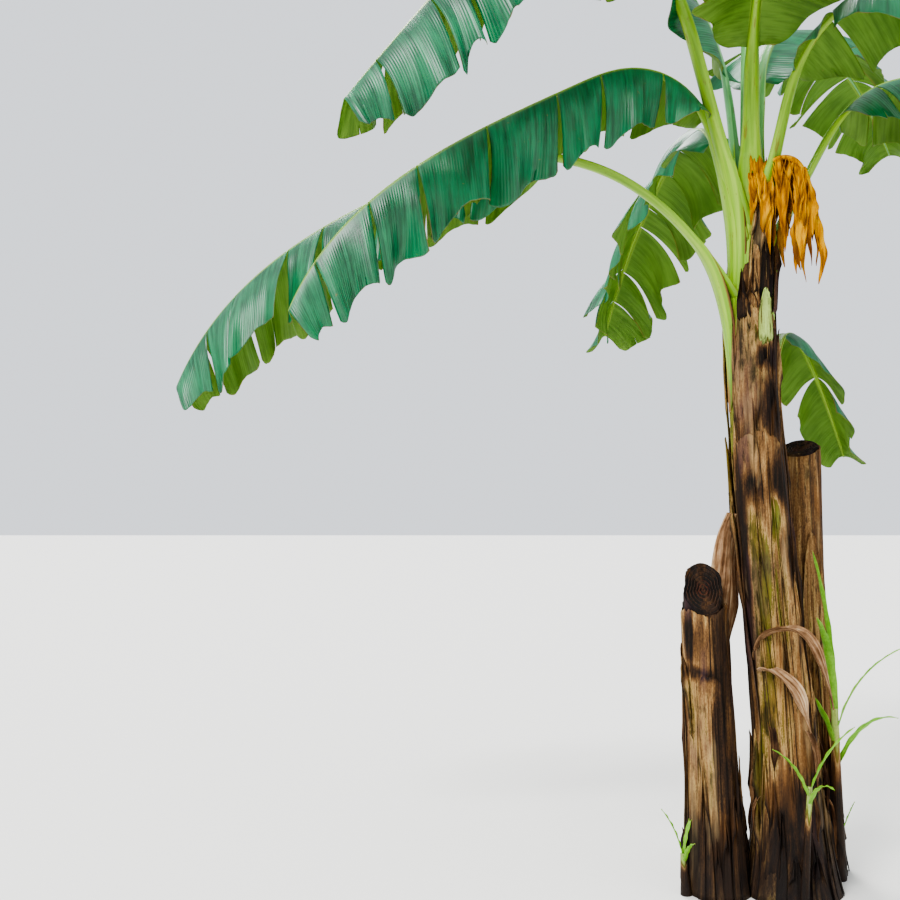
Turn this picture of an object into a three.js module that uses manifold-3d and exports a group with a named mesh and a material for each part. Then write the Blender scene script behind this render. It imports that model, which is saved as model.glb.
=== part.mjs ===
// A banana plant: one clump from one root. It has a main stem of wrapped leaf sheaths, the
// leaves round its crown, a withered leaf, two stems cut after harvest, and its suckers.
// Millimetres, +Z up. The origin is the middle of the flat cut under the main stem, +X runs to
// the right of the clump and +Y to its back. Headings are in degrees from +X towards +Y.
import * as THREE from "three";
import { mergeVertices } from "three/addons/utils/BufferGeometryUtils.js";
import Module from "manifold-3d";

const wasm = await Module();
wasm.setup();

// Clearances between solids that meet, and round the curved blades
const CLEARANCE = 0.4;
const BLADE_CLEARANCE = 0.6;

// Main stem
const STEM_HEIGHT = 2560;
const STEM_LEAN = 125;
const LEAN_HEIGHT = 2200;
const WAIST_RADIUS = 97;
const NECK_HEIGHT = 2020;
const NECK_RADIUS = 82;
const CROWN_RADIUS = 40;
const FOOT_FLARE = 72;
const FLARE_HEIGHT = 240;
const STEM_SIDES = 22;
const STEM_RINGS = 15;

// Petioles, half widths and half depths, from the sheath on the stem to the blade
const SHEATH_HALF_WIDTH = 62;
const SHEATH_HALF_DEPTH = 30;
const SHEATH_LENGTH = 420;
const PETIOLE_HALF_WIDTH = 35;
const PETIOLE_HALF_DEPTH = 25;
const PETIOLE_END_WIDTH = 0.8;
const PETIOLE_SIDES = 8;
const PETIOLE_RINGS = 6;

// Share of a petiole's upper half that is left above its groove, and share of the stem's radius
// at which a petiole starts
const PETIOLE_HOLLOW = 0.2;
const PETIOLE_SEAT = 0.5;

// Midribs and the thickness of a blade
const SPINE_STEPS = 64;
const MIDRIB_RADIUS = 22;
const MIDRIB_TIP_RADIUS = 7;
const MIDRIB_SIDES = 5;
const MIDRIB_STEP = 210;
const LAMINA_THICKNESS = 10;
const LAMINA_STRIPS = 2;

// Outline of a blade, in shares of its length: rounded at the base and drawn out to the tip
const BASE_ROUNDING = 0.14;
const TIP_ROUNDING = 0.5;
const TIP_FULLNESS = 2.4;
const BLADE_END = 0.985;

// Tears between panels: their width at the midrib, the share of a panel that they widen by, and
// how far they lie from even places, in panels
const TEAR_AT_RIB = 4;
const TEAR_SHARE = 0.09;
const TEAR_SPREAD = 0.3;
const TEAR_SEED = 7907;

// Hang of a panel: how far its veins sweep to the tip, how far gravity swings it where its midrib
// is steep, the slope past which a blade stays folded up along its midrib, and how it is folded
const VEIN_SWEEP = 0.14;
const GRAVITY_SWING = 0.85;
const STEEP = 76;
const STEEP_OPEN = 12;
const STEEP_CURL = 16;
const HANG_SPREAD = 14;
const PANEL_TWIST = 0.12;

// Panels that bend more than this along the midrib, in degrees, have two columns
const MOST_BEND = 18;

// Each leaf leaves the stem at height leaves and climbs at rise along its petiole. It bends over
// between two places along it, bends, and then runs from crest down to tip, all in degrees
// above the level. Each half of its blade is width across and hangs from open at the midrib to
// hang at the margin, the left half by roll more than the right. tears is the number of torn
// panels on each side, split is the number of them before the crest, and veer turns the leaf.
const LEAVES = [
  { name: "low_left", heading: 175, leaves: 2165, rise: 58, bends: [0, 1600], crest: -24, tip: -70,
    petiole: 940, blade: 1840, sag: 1.5, veer: -6, width: 320, open: 34, hang: 92, roll: 8,
    tears: 8, split: 3, seed: 11 },
  { name: "low_back", heading: 46, leaves: 1935, rise: 36, bends: [120, 500], crest: -46, tip: -62,
    petiole: 200, blade: 800, sag: 1.2, veer: -4, width: 165, open: 20, hang: 84, roll: 0,
    tears: 2, split: 1, seed: 23 },
  { name: "long_left", heading: 190, leaves: 2380, rise: 75, bends: [300, 1050], crest: -27,
    tip: -72, petiole: 480, blade: 2010, sag: 2.2, veer: 8, width: 310, open: 36, hang: 96,
    roll: 14, tears: 8, split: 2, seed: 35 },
  { name: "right", heading: 0, leaves: 2300, rise: 62, bends: [440, 1240], crest: -20, tip: -62,
    petiole: 640, blade: 1800, sag: 1.2, veer: 8, width: 340, open: 26, hang: 88, roll: -6,
    tears: 8, split: 3, seed: 47 },
  { name: "back", heading: 98, leaves: 2340, rise: 62, bends: [410, 1170], crest: -22, tip: -54,
    petiole: 600, blade: 1750, sag: 1.2, veer: 4, width: 330, open: 26, hang: 88, roll: 6,
    tears: 8, split: 3, seed: 59 },
  { name: "high_left", heading: 204, leaves: 2430, rise: 72, bends: [620, 1920], crest: -50,
    tip: -54, petiole: 940, blade: 1700, sag: 1, veer: -2, width: 330, open: 26, hang: 86,
    roll: 4, tears: 8, split: 3, seed: 61 },
  { name: "front", heading: 266, leaves: 2450, rise: 85, bends: [400, 1350], crest: 6, tip: -40,
    petiole: 640, blade: 1700, sag: 1.2, veer: 12, width: 320, open: 18, hang: 76, roll: 0,
    tears: 7, split: 3, seed: 73 },
  { name: "front_right", heading: 320, leaves: 2400, rise: 76, bends: [400, 1250], crest: -10,
    tip: -54, petiole: 600, blade: 1750, sag: 1.2, veer: 8, width: 330, open: 22, hang: 82,
    roll: 0, tears: 7, split: 3, seed: 79 },
  { name: "back_right", heading: 54, leaves: 2460, rise: 80, bends: [360, 1260], crest: 8,
    tip: -46, petiole: 580, blade: 1800, sag: 1.2, veer: -10, width: 320, open: 14, hang: 70,
    roll: 0, tears: 7, split: 3, seed: 85 },
  { name: "upright", heading: 150, leaves: 2500, rise: 85, bends: [250, 1350], crest: 44,
    tip: -20, petiole: 520, blade: 1750, sag: 1.2, veer: 8, width: 300, open: -6, hang: 44,
    roll: 0, tears: 5, split: 3, seed: 97 },
];

// Youngest leaf, still rolled, which bends slightly to the back
const ROLLED = { heading: 70, length: 1480, foot: 90, tip: 78, radius: 31, tipRadius: 7 };

// Withered leaf: where its rib starts, the rib that folds over, and the shreds that hang from it
const WITHERED = { heading: 306, leaves: 2440, seat: 0.6, veer: 60, length: 510, rise: 80,
  fall: -84 };
const WITHERED_HALF_WIDTHS = [21, 9];
const WITHERED_HALF_DEPTHS = [14, 8];
const SHREDS = 7;
const SHRED_PLACES = [0.5, 0.99];
const SHRED_SEED = 5;
const SHRED_WIDTH = 44;
const SHRED_TAPER = 0.55;
const SHRED_LENGTH = 400;
const SHRED_SWING = 0.16;
const SHRED_THICKNESS = 7;

// Stems cut after harvest. The cut slants by slant and faces the way that facing points.
const STUMPS = [
  { name: "cut_stem_front", x: -271, y: -12, lean: -42, leanY: -6, height: 1100, foot: 110,
    waist: 95, top: 73, slant: 1.2, facing: 262 },
  { name: "cut_stem_back", x: 168, y: 214, lean: -40, leanY: 10, height: 1625, foot: 112,
    waist: 76, top: 66, slant: 0.5, facing: 240 },
];
const STUMP_SIDES = 16;
const STUMP_RINGS = 6;
const STUMP_FLARE_HEIGHT = 150;

// Suckers: a round stem and narrow leaves, each with its heading, its height on the stem, its
// length, its width and its slopes at the start and at the tip
const SUCKERS = [
  { name: "sucker_tall", x: 214, y: 100, lean: -14, leanY: -22, height: 640, radius: 33, top: 12,
    leaves: [
      { heading: 196, at: 600, length: 640, width: 19, rise: 88, tip: 74 },
      { heading: 236, at: 560, length: 520, width: 20, rise: 86, tip: 30 },
      { heading: 330, at: 520, length: 460, width: 18, rise: 78, tip: 26 },
      { heading: 210, at: 470, length: 430, width: 17, rise: 74, tip: 10 },
      { heading: 20, at: 400, length: 380, width: 16, rise: 66, tip: -16 },
      { heading: 325, at: 120, length: 190, width: 9, rise: 74, tip: 66 },
    ] },
  { name: "sucker_front", x: -10, y: -180, lean: 16, leanY: -30, height: 430, radius: 17, top: 9,
    leaves: [
      { heading: 350, at: 400, length: 290, width: 15, rise: 72, tip: 38 },
      { heading: 200, at: 380, length: 250, width: 13, rise: 70, tip: 26 },
      { heading: 280, at: 350, length: 220, width: 12, rise: 66, tip: -10 },
    ] },
  { name: "sucker_small", x: -392, y: -52, lean: -14, leanY: -8, height: 150, radius: 22, top: 9,
    leaves: [
      { heading: 165, at: 130, length: 190, width: 12, rise: 78, tip: 50 },
      { heading: 20, at: 120, length: 220, width: 12, rise: 84, tip: 58 },
      { heading: 280, at: 100, length: 160, width: 11, rise: 70, tip: 20 },
    ] },
];
const SUCKER_LEAF_THICKNESS = 7;
const STRIP_FOLD = 0.35;

// Dry sheaths and leaf strips that hang off the stem: the side and height where each is seated,
// the heading that it leaves with, how far it veers, its length, its width and the slopes that
// it runs through
const DRY_STRIPS = [
  { name: "dry_sheath", seat: 172, at: 1370, heading: 112, veer: -10, length: 510, width: 124,
    slopes: [-70, -85, -86] },
  { name: "dry_strip_upper", seat: 205, at: 840, heading: 290, veer: 60, length: 560, width: 48,
    slopes: [70, 14, -66, -80] },
  { name: "dry_strip_lower", seat: 216, at: 800, heading: 286, veer: 50, length: 340, width: 60,
    slopes: [18, -20, -62, -72] },
];
const DRY_THICKNESS = 7;
const DRY_SEAT = 1;
const DRY_TAPER = 0.3;

// Colours of the plain solids
const FINISHES = {
  stem: { color: 0x8a6238, roughness: 0.8 },
  petiole: { color: 0x9cbf4a, roughness: 0.5 },
  blade: { color: 0x2f7d45, roughness: 0.45 },
  dry: { color: 0xb98a55, roughness: 0.85 },
  withered: { color: 0xd98a1e, roughness: 0.8 },
  cutStem: { color: 0x9a7346, roughness: 0.85 },
  sucker: { color: 0x7fb53c, roughness: 0.5 },
};

const { clamp, degToRad, lerp } = THREE.MathUtils;

function smooth(x) {
  const t = clamp(x, 0, 1);
  return t * t * (3 - 2 * t);
}

// The same stream of numbers from -1 to 1 for the same seed
function stream(seed) {
  let state = seed >>> 0;
  return () => {
    state = (Math.imul(state, 1664525) + 1013904223) >>> 0;
    return state / 2147483648 - 1;
  };
}

function solidOf(vertices, triangles) {
  return new wasm.Manifold(
    new wasm.Mesh({
      numProp: 3,
      vertProperties: new Float32Array(vertices),
      triVerts: new Uint32Array(triangles),
    }),
  );
}

// A closed geometry of unit size as a solid, with each vertex moved to where place puts it
function shaped(geometry, place) {
  geometry.deleteAttribute("normal");
  geometry.deleteAttribute("uv");
  const merged = mergeVertices(geometry, 1e-5);
  const position = merged.getAttribute("position");
  const vertex = new THREE.Vector3();
  for (let i = 0; i < position.count; i++) {
    place(vertex.fromBufferAttribute(position, i));
    position.setXYZ(i, vertex.x, vertex.y, vertex.z);
  }
  const triangles = Array.from(merged.index.array);
  const solid = solidOf(position.array, triangles);
  return solid.volume() < 0 ? solidOf(position.array, triangles.reverse()) : solid;
}

function joined(solids) {
  return solids.reduce((whole, solid) => whole.add(solid));
}

// The largest body of a solid that cuts may have left in pieces
function cutClear(solid, others) {
  const left = others.reduce((rest, other) => rest.subtract(other), solid);
  return left.decompose().reduce((a, b) => (b.volume() > a.volume() ? b : a));
}

function polar(heading) {
  const turn = degToRad(heading);
  return new THREE.Vector3(Math.cos(turn), Math.sin(turn), 0);
}

// Main stem: an axis that leans to the left, and a radius that flares at the foot
function stemAxis(z) {
  const share = clamp(z / LEAN_HEIGHT, 0, 1);
  return new THREE.Vector3((-STEM_LEAN * (1 - Math.cos(Math.PI * share))) / 2, 0, z);
}

function stemRadius(z) {
  const waist = lerp(WAIST_RADIUS, NECK_RADIUS, clamp(z / NECK_HEIGHT, 0, 1));
  const tapering = smooth((z - NECK_HEIGHT) / (STEM_HEIGHT - NECK_HEIGHT));
  return lerp(waist, CROWN_RADIUS, tapering) + FOOT_FLARE * Math.exp(-z / FLARE_HEIGHT);
}

// Wrapped sheaths make the stem's section slightly lobed, and the lobes wind upwards
function stemLobes(angle, z) {
  return 1 + 0.03 * Math.cos(3 * angle + z / 420) + 0.015 * Math.cos(5 * angle - z / 300);
}

function stemSolid(extra) {
  const geometry = new THREE.CylinderGeometry(1, 1, 1, STEM_SIDES, STEM_RINGS);
  return shaped(geometry, (v) => {
    const z = STEM_HEIGHT * (v.y + 0.5) ** 1.2 + (v.y > 0.49 ? extra : 0);
    const angle = Math.atan2(v.z, v.x);
    const reach = Math.hypot(v.x, v.z) * (stemRadius(z) * stemLobes(angle, z) + extra);
    v.set(reach * Math.cos(angle), reach * Math.sin(angle), 0).add(stemAxis(z));
  });
}

// The line that a rib follows, as a function of the way along it: a point, the direction along
// the rib, its left side, its upper face and its slope
function spine({ start, heading, veer, length, slope }) {
  const frames = [];
  const point = start.clone();
  const step = length / SPINE_STEPS;
  for (let i = 0; i <= SPINE_STEPS + 1; i++) {
    const lift = degToRad(slope(i * step));
    const out = polar(heading + veer * (i / SPINE_STEPS) ** 2);
    const along = out.clone().multiplyScalar(Math.cos(lift)).setZ(Math.sin(lift));
    const side = new THREE.Vector3(-out.y, out.x, 0);
    frames.push({ point: point.clone(), along, side, up: along.clone().cross(side), lift });
    point.addScaledVector(along, step);
  }
  return (s) => {
    const place = clamp(s / step, 0, SPINE_STEPS);
    const [a, b] = [frames[Math.floor(place)], frames[Math.floor(place) + 1]];
    const share = place - Math.floor(place);
    return {
      point: a.point.clone().lerp(b.point, share),
      along: a.along.clone().lerp(b.along, share).normalize(),
      side: a.side.clone().lerp(b.side, share).normalize(),
      up: a.up.clone().lerp(b.up, share).normalize(),
      lift: lerp(a.lift, b.lift, share),
    };
  };
}

// Stiff along the petiole, bent over, then sagging to the tip
function leafSlope(leaf) {
  const [from, to] = leaf.bends;
  const rest = leaf.petiole + leaf.blade - to;
  return (s) => {
    const bent = lerp(leaf.rise, leaf.crest, smooth((s - from) / (to - from)));
    return bent + (leaf.tip - leaf.crest) * clamp((s - to) / rest, 0, 1) ** leaf.sag;
  };
}

function leafSpine(leaf) {
  const seat = PETIOLE_SEAT * stemRadius(leaf.leaves);
  return spine({
    start: stemAxis(leaf.leaves).addScaledVector(polar(leaf.heading), seat),
    heading: leaf.heading,
    veer: leaf.veer,
    length: leaf.petiole + leaf.blade,
    slope: leafSlope(leaf),
  });
}

// A limb swept along a spine between two places on it, and swollen by extra. section gives the
// half width and half depth at a share of the way, and hollow the share of its upper half left.
function limb(at, [from, to], [sides, rings], section, extra, hollow = 1) {
  const geometry = new THREE.CylinderGeometry(1, 1, 1, sides, rings);
  return shaped(geometry, (v) => {
    const share = v.y + 0.5;
    const { point, side, up } = at(lerp(from, to, share));
    const [halfWidth, halfDepth] = section(share);
    const across = v.x * (halfWidth + extra);
    const over = (v.z > 0 ? v.z * hollow : v.z) * halfDepth + v.z * extra;
    v.copy(point).addScaledVector(side, across).addScaledVector(up, over);
  });
}

function petioleSolid(leaf, at, extra) {
  const section = (share) => {
    const narrow = smooth((share * leaf.petiole) / SHEATH_LENGTH);
    const width = lerp(SHEATH_HALF_WIDTH, PETIOLE_HALF_WIDTH, narrow);
    const depth = lerp(SHEATH_HALF_DEPTH, PETIOLE_HALF_DEPTH, narrow);
    return [width * lerp(1, PETIOLE_END_WIDTH, share), depth];
  };
  const reach = [CLEARANCE - extra, leaf.petiole + extra];
  return limb(at, reach, [PETIOLE_SIDES, PETIOLE_RINGS], section, extra, PETIOLE_HOLLOW);
}

// Width of a blade at a share of its length, as a share of its full width
function bladeOutline(t) {
  const base = clamp(t / BASE_ROUNDING, 0.01, 1) ** 0.5;
  const tip = 1 - clamp((t - 1 + TIP_ROUNDING) / TIP_ROUNDING, 0, 1) ** TIP_FULLNESS;
  return base * Math.sqrt(tip);
}

// A place on one torn panel of a blade, t along the blade and u from the midrib to the margin,
// with the way that its upper face looks, the way to its margin and the way along the midrib.
// The panel hangs along an arc, and the steeper its midrib runs, the more its veins swing
// towards the ground.
function panelPlace(leaf, at, panel, t, u) {
  const middle = (panel.from + panel.to) / 2;
  const torn = TEAR_AT_RIB / leaf.blade + TEAR_SHARE * u * (panel.to - panel.from);
  const pinched = middle + (t - middle) * (1 - torn / (panel.to - panel.from));
  const frame = at(leaf.petiole + pinched * leaf.blade);
  const width = leaf.width * bladeOutline(pinched);
  const level = clamp((STEEP - THREE.MathUtils.radToDeg(frame.lift)) / STEEP, 0, 1);
  const open = degToRad(lerp(STEEP_OPEN, leaf.open + panel.side * leaf.roll, level));
  const curl = degToRad(lerp(STEEP_CURL, leaf.hang + panel.hang - leaf.open, level));
  const angle = open + curl * u;
  const across = (width * (Math.sin(angle) - Math.sin(open))) / curl;
  const down = (width * (Math.cos(open) - Math.cos(angle))) / curl;
  const forward = VEIN_SWEEP * width * u - GRAVITY_SWING * Math.sin(frame.lift) * down;
  const facing = frame.side.clone().multiplyScalar(panel.side * Math.sin(angle));
  facing.addScaledVector(frame.up, Math.cos(angle));
  const outward = frame.side.clone().multiplyScalar(panel.side * Math.cos(angle));
  outward.addScaledVector(frame.up, -Math.sin(angle));
  const twist = (PANEL_TWIST * panel.twist * width * u * (t - middle)) / (panel.to - panel.from);
  const point = frame.point.clone().addScaledVector(frame.side, panel.side * across);
  point.addScaledVector(frame.up, -down).addScaledVector(frame.along, forward);
  return { point: point.addScaledVector(facing, twist), facing, outward, along: frame.along };
}

function panelSolid(leaf, at, panel, extra) {
  const bend = at(leaf.petiole + panel.from * leaf.blade).lift -
    at(leaf.petiole + panel.to * leaf.blade).lift;
  const columns = Math.abs(bend) > degToRad(MOST_BEND) ? 2 : 1;
  const geometry = new THREE.BoxGeometry(1, 1, 1, columns, LAMINA_STRIPS, 1);
  return shaped(geometry, (v) => {
    const t = lerp(panel.from, panel.to, v.x + 0.5);
    const { point, facing, outward, along } = panelPlace(leaf, at, panel, t, v.y + 0.5);
    point.addScaledVector(facing, v.z * (LAMINA_THICKNESS + 2 * extra));
    point.addScaledVector(outward, 2 * extra * Math.round(2 * v.y));
    v.copy(point.addScaledVector(along, 2 * extra * Math.round(2 * v.x)));
  });
}

// Where the tears of one half of a blade are, in panels from its base. Both halves are whole at
// the base, at the crest and at the tip.
function tearPlaces(leaf, draw) {
  const whole = [0, leaf.split, leaf.tears];
  const even = Array.from({ length: leaf.tears + 1 }, (_, k) => k);
  return even.map((k) => (whole.includes(k) ? k : k + TEAR_SPREAD * draw()));
}

// The torn panels of a blade from its base to its tip, with a hang and a twist drawn for each
function bladePanels(leaf) {
  const draw = stream(leaf.seed);
  const tearDraw = stream(leaf.seed * TEAR_SEED);
  const tears = { 1: tearPlaces(leaf, tearDraw), [-1]: tearPlaces(leaf, tearDraw) };
  const panels = [];
  for (let k = 0; k < leaf.tears; k++)
    for (const side of [1, -1])
      panels.push({
        index: k,
        side,
        from: (BLADE_END * tears[side][k]) / leaf.tears,
        to: (BLADE_END * tears[side][k + 1]) / leaf.tears,
        hang: HANG_SPREAD * draw(),
        twist: draw(),
      });
  return panels;
}

// One part of a blade: its midrib from one torn panel to another, with those panels fused on
function bladeSolid(leaf, at, first, last, extra) {
  const from = leaf.petiole + (BLADE_END * first * leaf.blade) / leaf.tears + CLEARANCE - extra;
  const to = leaf.petiole + (BLADE_END * last * leaf.blade) / leaf.tears + extra;
  const rings = Math.ceil((to - from) / MIDRIB_STEP) + 1;
  const radius = (share) => {
    const t = (lerp(from, to, share) - leaf.petiole) / leaf.blade;
    const round = lerp(MIDRIB_RADIUS, MIDRIB_TIP_RADIUS, t);
    return [round, round];
  };
  const midrib = limb(at, [from, to], [MIDRIB_SIDES, rings], radius, extra);
  const panels = bladePanels(leaf).filter(({ index }) => index >= first && index < last);
  return joined([midrib, ...panels.map((panel) => panelSolid(leaf, at, panel, extra))]);
}

// Rolled leaf: a long cone that stands on the stem's end
function rolledSolid(extra) {
  const { heading, length, foot, tip, radius, tipRadius } = ROLLED;
  const start = stemAxis(STEM_HEIGHT + CLEARANCE - extra);
  const at = spine({ start, heading, veer: 0, length, slope: (s) => lerp(foot, tip, s / length) });
  const section = (share) => {
    const round = lerp(radius, tipRadius, share ** 1.4);
    return [round, round];
  };
  return limb(at, [0, length + extra], [8, 6], section, extra);
}

// Withered leaf: a thin rib that folds over, with shreds of dry blade fused along it
function witheredSolid() {
  const { heading, leaves, seat, veer, length, rise, fall } = WITHERED;
  const start = stemAxis(leaves).addScaledVector(polar(heading), seat * stemRadius(leaves));
  const slope = (s) => lerp(rise, fall, smooth((s / length - 0.25) / 0.6));
  const at = spine({ start, heading, veer, length, slope });
  const section = (share) => [
    lerp(...WITHERED_HALF_WIDTHS, share),
    lerp(...WITHERED_HALF_DEPTHS, share),
  ];
  const rib = limb(at, [0, length], [6, 9], section, 0);
  const draw = stream(SHRED_SEED);
  const shreds = [];
  for (let k = 0; k < SHREDS; k++) {
    const frame = at(length * lerp(...SHRED_PLACES, k / (SHREDS - 1)));
    const out = polar(heading + 30 + 150 * draw());
    const reach = SHRED_LENGTH * (0.75 + 0.25 * draw());
    const geometry = new THREE.BoxGeometry(1, 1, 1, 1, 3, 1);
    const across = new THREE.Vector3(-out.y, out.x, 0);
    shreds.push(
      shaped(geometry, (v) => {
        const share = v.y + 0.5;
        const wide = v.x * SHRED_WIDTH * (1 - SHRED_TAPER * share);
        const swing = SHRED_SWING * reach * Math.sin(1.9 * share) + v.z * SHRED_THICKNESS;
        v.copy(frame.point).addScaledVector(across, wide).addScaledVector(out, swing);
        v.z -= reach * share - 6;
      }),
    );
  }
  return joined([rib, ...shreds]);
}

// A stem cut after harvest, flared at its foot, with a slanting cut on top
function stumpSolid(stump, extra) {
  const { x, y, lean, leanY, height, foot, waist, top, slant, facing } = stump;
  const towards = polar(facing);
  const geometry = new THREE.CylinderGeometry(1, 1, 1, STUMP_SIDES, STUMP_RINGS);
  return shaped(geometry, (v) => {
    const share = (v.y + 0.5) ** 1.4;
    const flare = (foot - waist) * Math.exp((-share * height) / STUMP_FLARE_HEIGHT);
    const radius = lerp(waist, top, share) + flare + extra;
    const [acrossX, acrossY] = [v.x * radius, v.z * radius];
    const down = slant * share ** 8 * (acrossX * towards.x + acrossY * towards.y);
    v.set(x + lean * share + acrossX, y + leanY * share + acrossY, height * share - down);
  });
}

// A sucker: a tapering stem on the ground with narrow leaves sunk into it
function suckerSolid(sucker, extra) {
  const axis = (z) => {
    const share = z / sucker.height;
    return new THREE.Vector3(sucker.x + sucker.lean * share, sucker.y + sucker.leanY * share, z);
  };
  const geometry = new THREE.CylinderGeometry(1, 1, 1, 8, 3);
  const stem = shaped(geometry, (v) => {
    const share = v.y + 0.5;
    const radius = lerp(sucker.radius, sucker.top, share) + extra;
    const [acrossX, acrossY] = [v.x * radius, v.z * radius];
    v.copy(axis(share * sucker.height)).add(new THREE.Vector3(acrossX, acrossY, 0));
  });
  const leaves = sucker.leaves.map((leaf) => {
    const at = spine({
      start: axis(leaf.at),
      heading: leaf.heading,
      veer: 0,
      length: leaf.length,
      slope: (s) => lerp(leaf.rise, leaf.tip, (s / leaf.length) ** 1.3),
    });
    return stripSolid(at, leaf.length, SUCKER_LEAF_THICKNESS + 2 * extra, (share) => {
      const outline = Math.sin(Math.PI * clamp(0.12 + 0.86 * share, 0, 1)) ** 0.7;
      return leaf.width * Math.max(outline, 0.3) + extra;
    });
  });
  return joined([stem, ...leaves]);
}

// A flat strip swept along a spine
function stripSolid(at, length, thickness, halfWidth) {
  const geometry = new THREE.BoxGeometry(1, 1, 1, 2, 4, 1);
  return shaped(geometry, (v) => {
    const share = v.y + 0.5;
    const { point, side, up } = at(share * length);
    const fold = STRIP_FOLD * Math.abs(v.x) * halfWidth(share);
    const [across, over] = [v.x * 2 * halfWidth(share), v.z * thickness + fold];
    v.copy(point).addScaledVector(side, across).addScaledVector(up, over);
  });
}

// A dry strip: it leaves the stem's surface and runs through its slopes
function dryStripSolid(strip) {
  const seat = stemRadius(strip.at) + DRY_SEAT;
  const at = spine({
    start: stemAxis(strip.at).addScaledVector(polar(strip.seat), seat),
    heading: strip.heading,
    veer: strip.veer,
    length: strip.length,
    slope: (s) => {
      const place = clamp(s / strip.length, 0, 0.999) * (strip.slopes.length - 1);
      const k = Math.floor(place);
      return lerp(strip.slopes[k], strip.slopes[k + 1], smooth(place - k));
    },
  });
  const halfWidth = (share) => (strip.width / 2) * (1 - DRY_TAPER * share);
  return stripSolid(at, strip.length, DRY_THICKNESS, halfWidth);
}

const plant = new THREE.Group();

function addNode(name, solid, finish) {
  const { vertProperties, triVerts } = solid.getMesh();
  const geometry = new THREE.BufferGeometry();
  geometry.setAttribute("position", new THREE.BufferAttribute(vertProperties, 3));
  geometry.setIndex(new THREE.BufferAttribute(triVerts, 1));
  geometry.computeVertexNormals();
  const mesh = new THREE.Mesh(geometry, new THREE.MeshStandardMaterial(FINISHES[finish]));
  mesh.name = name;
  plant.add(mesh);
}

addNode("main_stem", stemSolid(0), "stem");
const taken = [stemSolid(CLEARANCE)];

for (const stump of STUMPS) {
  addNode(stump.name, cutClear(stumpSolid(stump, 0), taken), "cutStem");
  taken.push(stumpSolid(stump, CLEARANCE));
}

for (const sucker of SUCKERS) {
  addNode(sucker.name, cutClear(suckerSolid(sucker, 0), taken), "sucker");
  taken.push(suckerSolid(sucker, CLEARANCE));
}

for (const strip of DRY_STRIPS) addNode(strip.name, cutClear(dryStripSolid(strip), taken), "dry");

addNode("rolled_leaf", rolledSolid(0), "petiole");
taken.push(rolledSolid(CLEARANCE));

const spines = LEAVES.map(leafSpine);
LEAVES.forEach((leaf, i) => {
  addNode(`petiole_${leaf.name}`, cutClear(petioleSolid(leaf, spines[i], 0), taken), "petiole");
  taken.push(petioleSolid(leaf, spines[i], CLEARANCE));
});

LEAVES.forEach((leaf, i) => {
  const parts = [["inner", 0, leaf.split], ["outer", leaf.split, leaf.tears]];
  for (const [part, first, last] of parts) {
    const name = `blade_${leaf.name}_${part}`;
    addNode(name, cutClear(bladeSolid(leaf, spines[i], first, last, 0), taken), "blade");
    taken.push(bladeSolid(leaf, spines[i], first, last, BLADE_CLEARANCE));
  }
});

addNode("withered_leaf", cutClear(witheredSolid(), taken), "withered");

export default plant;
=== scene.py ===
# %% [markdown]
# # A banana plant, dressed in Blender
# A banana plant has no wood. Its stem is a roll of leaf sheaths, one inside the other, and each
# sheath runs up into a stalk and one huge leaf, which the wind tears into ribbons. The plain
# solids of the plant are loaded first. They stay where they are, and everything below grows on
# them by the rule that shaped them, carried on to finer detail.

# %% Load the plain solids
import math
from collections import namedtuple

import bmesh
import bpy
import numpy as np
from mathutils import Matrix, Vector


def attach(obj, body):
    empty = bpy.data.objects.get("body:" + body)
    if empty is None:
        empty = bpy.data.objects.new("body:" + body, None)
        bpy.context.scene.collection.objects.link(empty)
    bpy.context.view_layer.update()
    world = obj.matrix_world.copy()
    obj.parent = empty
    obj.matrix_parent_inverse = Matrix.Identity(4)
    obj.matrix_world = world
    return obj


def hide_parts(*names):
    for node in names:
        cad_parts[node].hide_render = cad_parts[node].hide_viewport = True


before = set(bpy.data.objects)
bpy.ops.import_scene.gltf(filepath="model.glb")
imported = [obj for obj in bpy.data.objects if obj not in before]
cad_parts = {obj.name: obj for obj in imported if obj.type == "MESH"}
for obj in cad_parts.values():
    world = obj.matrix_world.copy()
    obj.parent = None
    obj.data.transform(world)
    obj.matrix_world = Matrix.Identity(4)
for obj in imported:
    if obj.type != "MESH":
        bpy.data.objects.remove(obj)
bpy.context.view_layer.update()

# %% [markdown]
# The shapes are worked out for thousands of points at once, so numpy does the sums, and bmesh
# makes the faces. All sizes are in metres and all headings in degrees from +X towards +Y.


def smooth(x):
    t = np.clip(x, 0, 1)
    return t * t * (3 - 2 * t)


def mix(a, b, share):
    return a + (b - a) * share


def polar(heading):
    turn = np.radians(heading)
    return np.stack([np.cos(turn), np.sin(turn), np.zeros_like(turn)], axis=-1)


def column(values):
    return np.asarray(values)[..., None]


STREAM_FACTOR = 1664525
STREAM_STEP = 1013904223
STREAM_RANGE = 2**32


def stream(seed):
    """The same numbers from -1 to 1 for the same seed."""
    state = seed
    while True:
        state = (state * STREAM_FACTOR + STREAM_STEP) % STREAM_RANGE
        yield 2 * state / STREAM_RANGE - 1


def drawn(draw, middle, spread):
    """A number within a spread of its middle, from a stream."""
    return middle + spread * next(draw)


UPRIGHT = np.array([0.0, 0.0, 1.0])

# %% [markdown]
# The photograph was taken at eye height with a normal lens, tilted up by two degrees. The same
# camera stands here, so the plant fills the same part of the picture.

# %% Camera
EYE = (-1.245, -3.9, 1.46)
TILT = 2.18
FOCAL_LENGTH = 42

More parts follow.
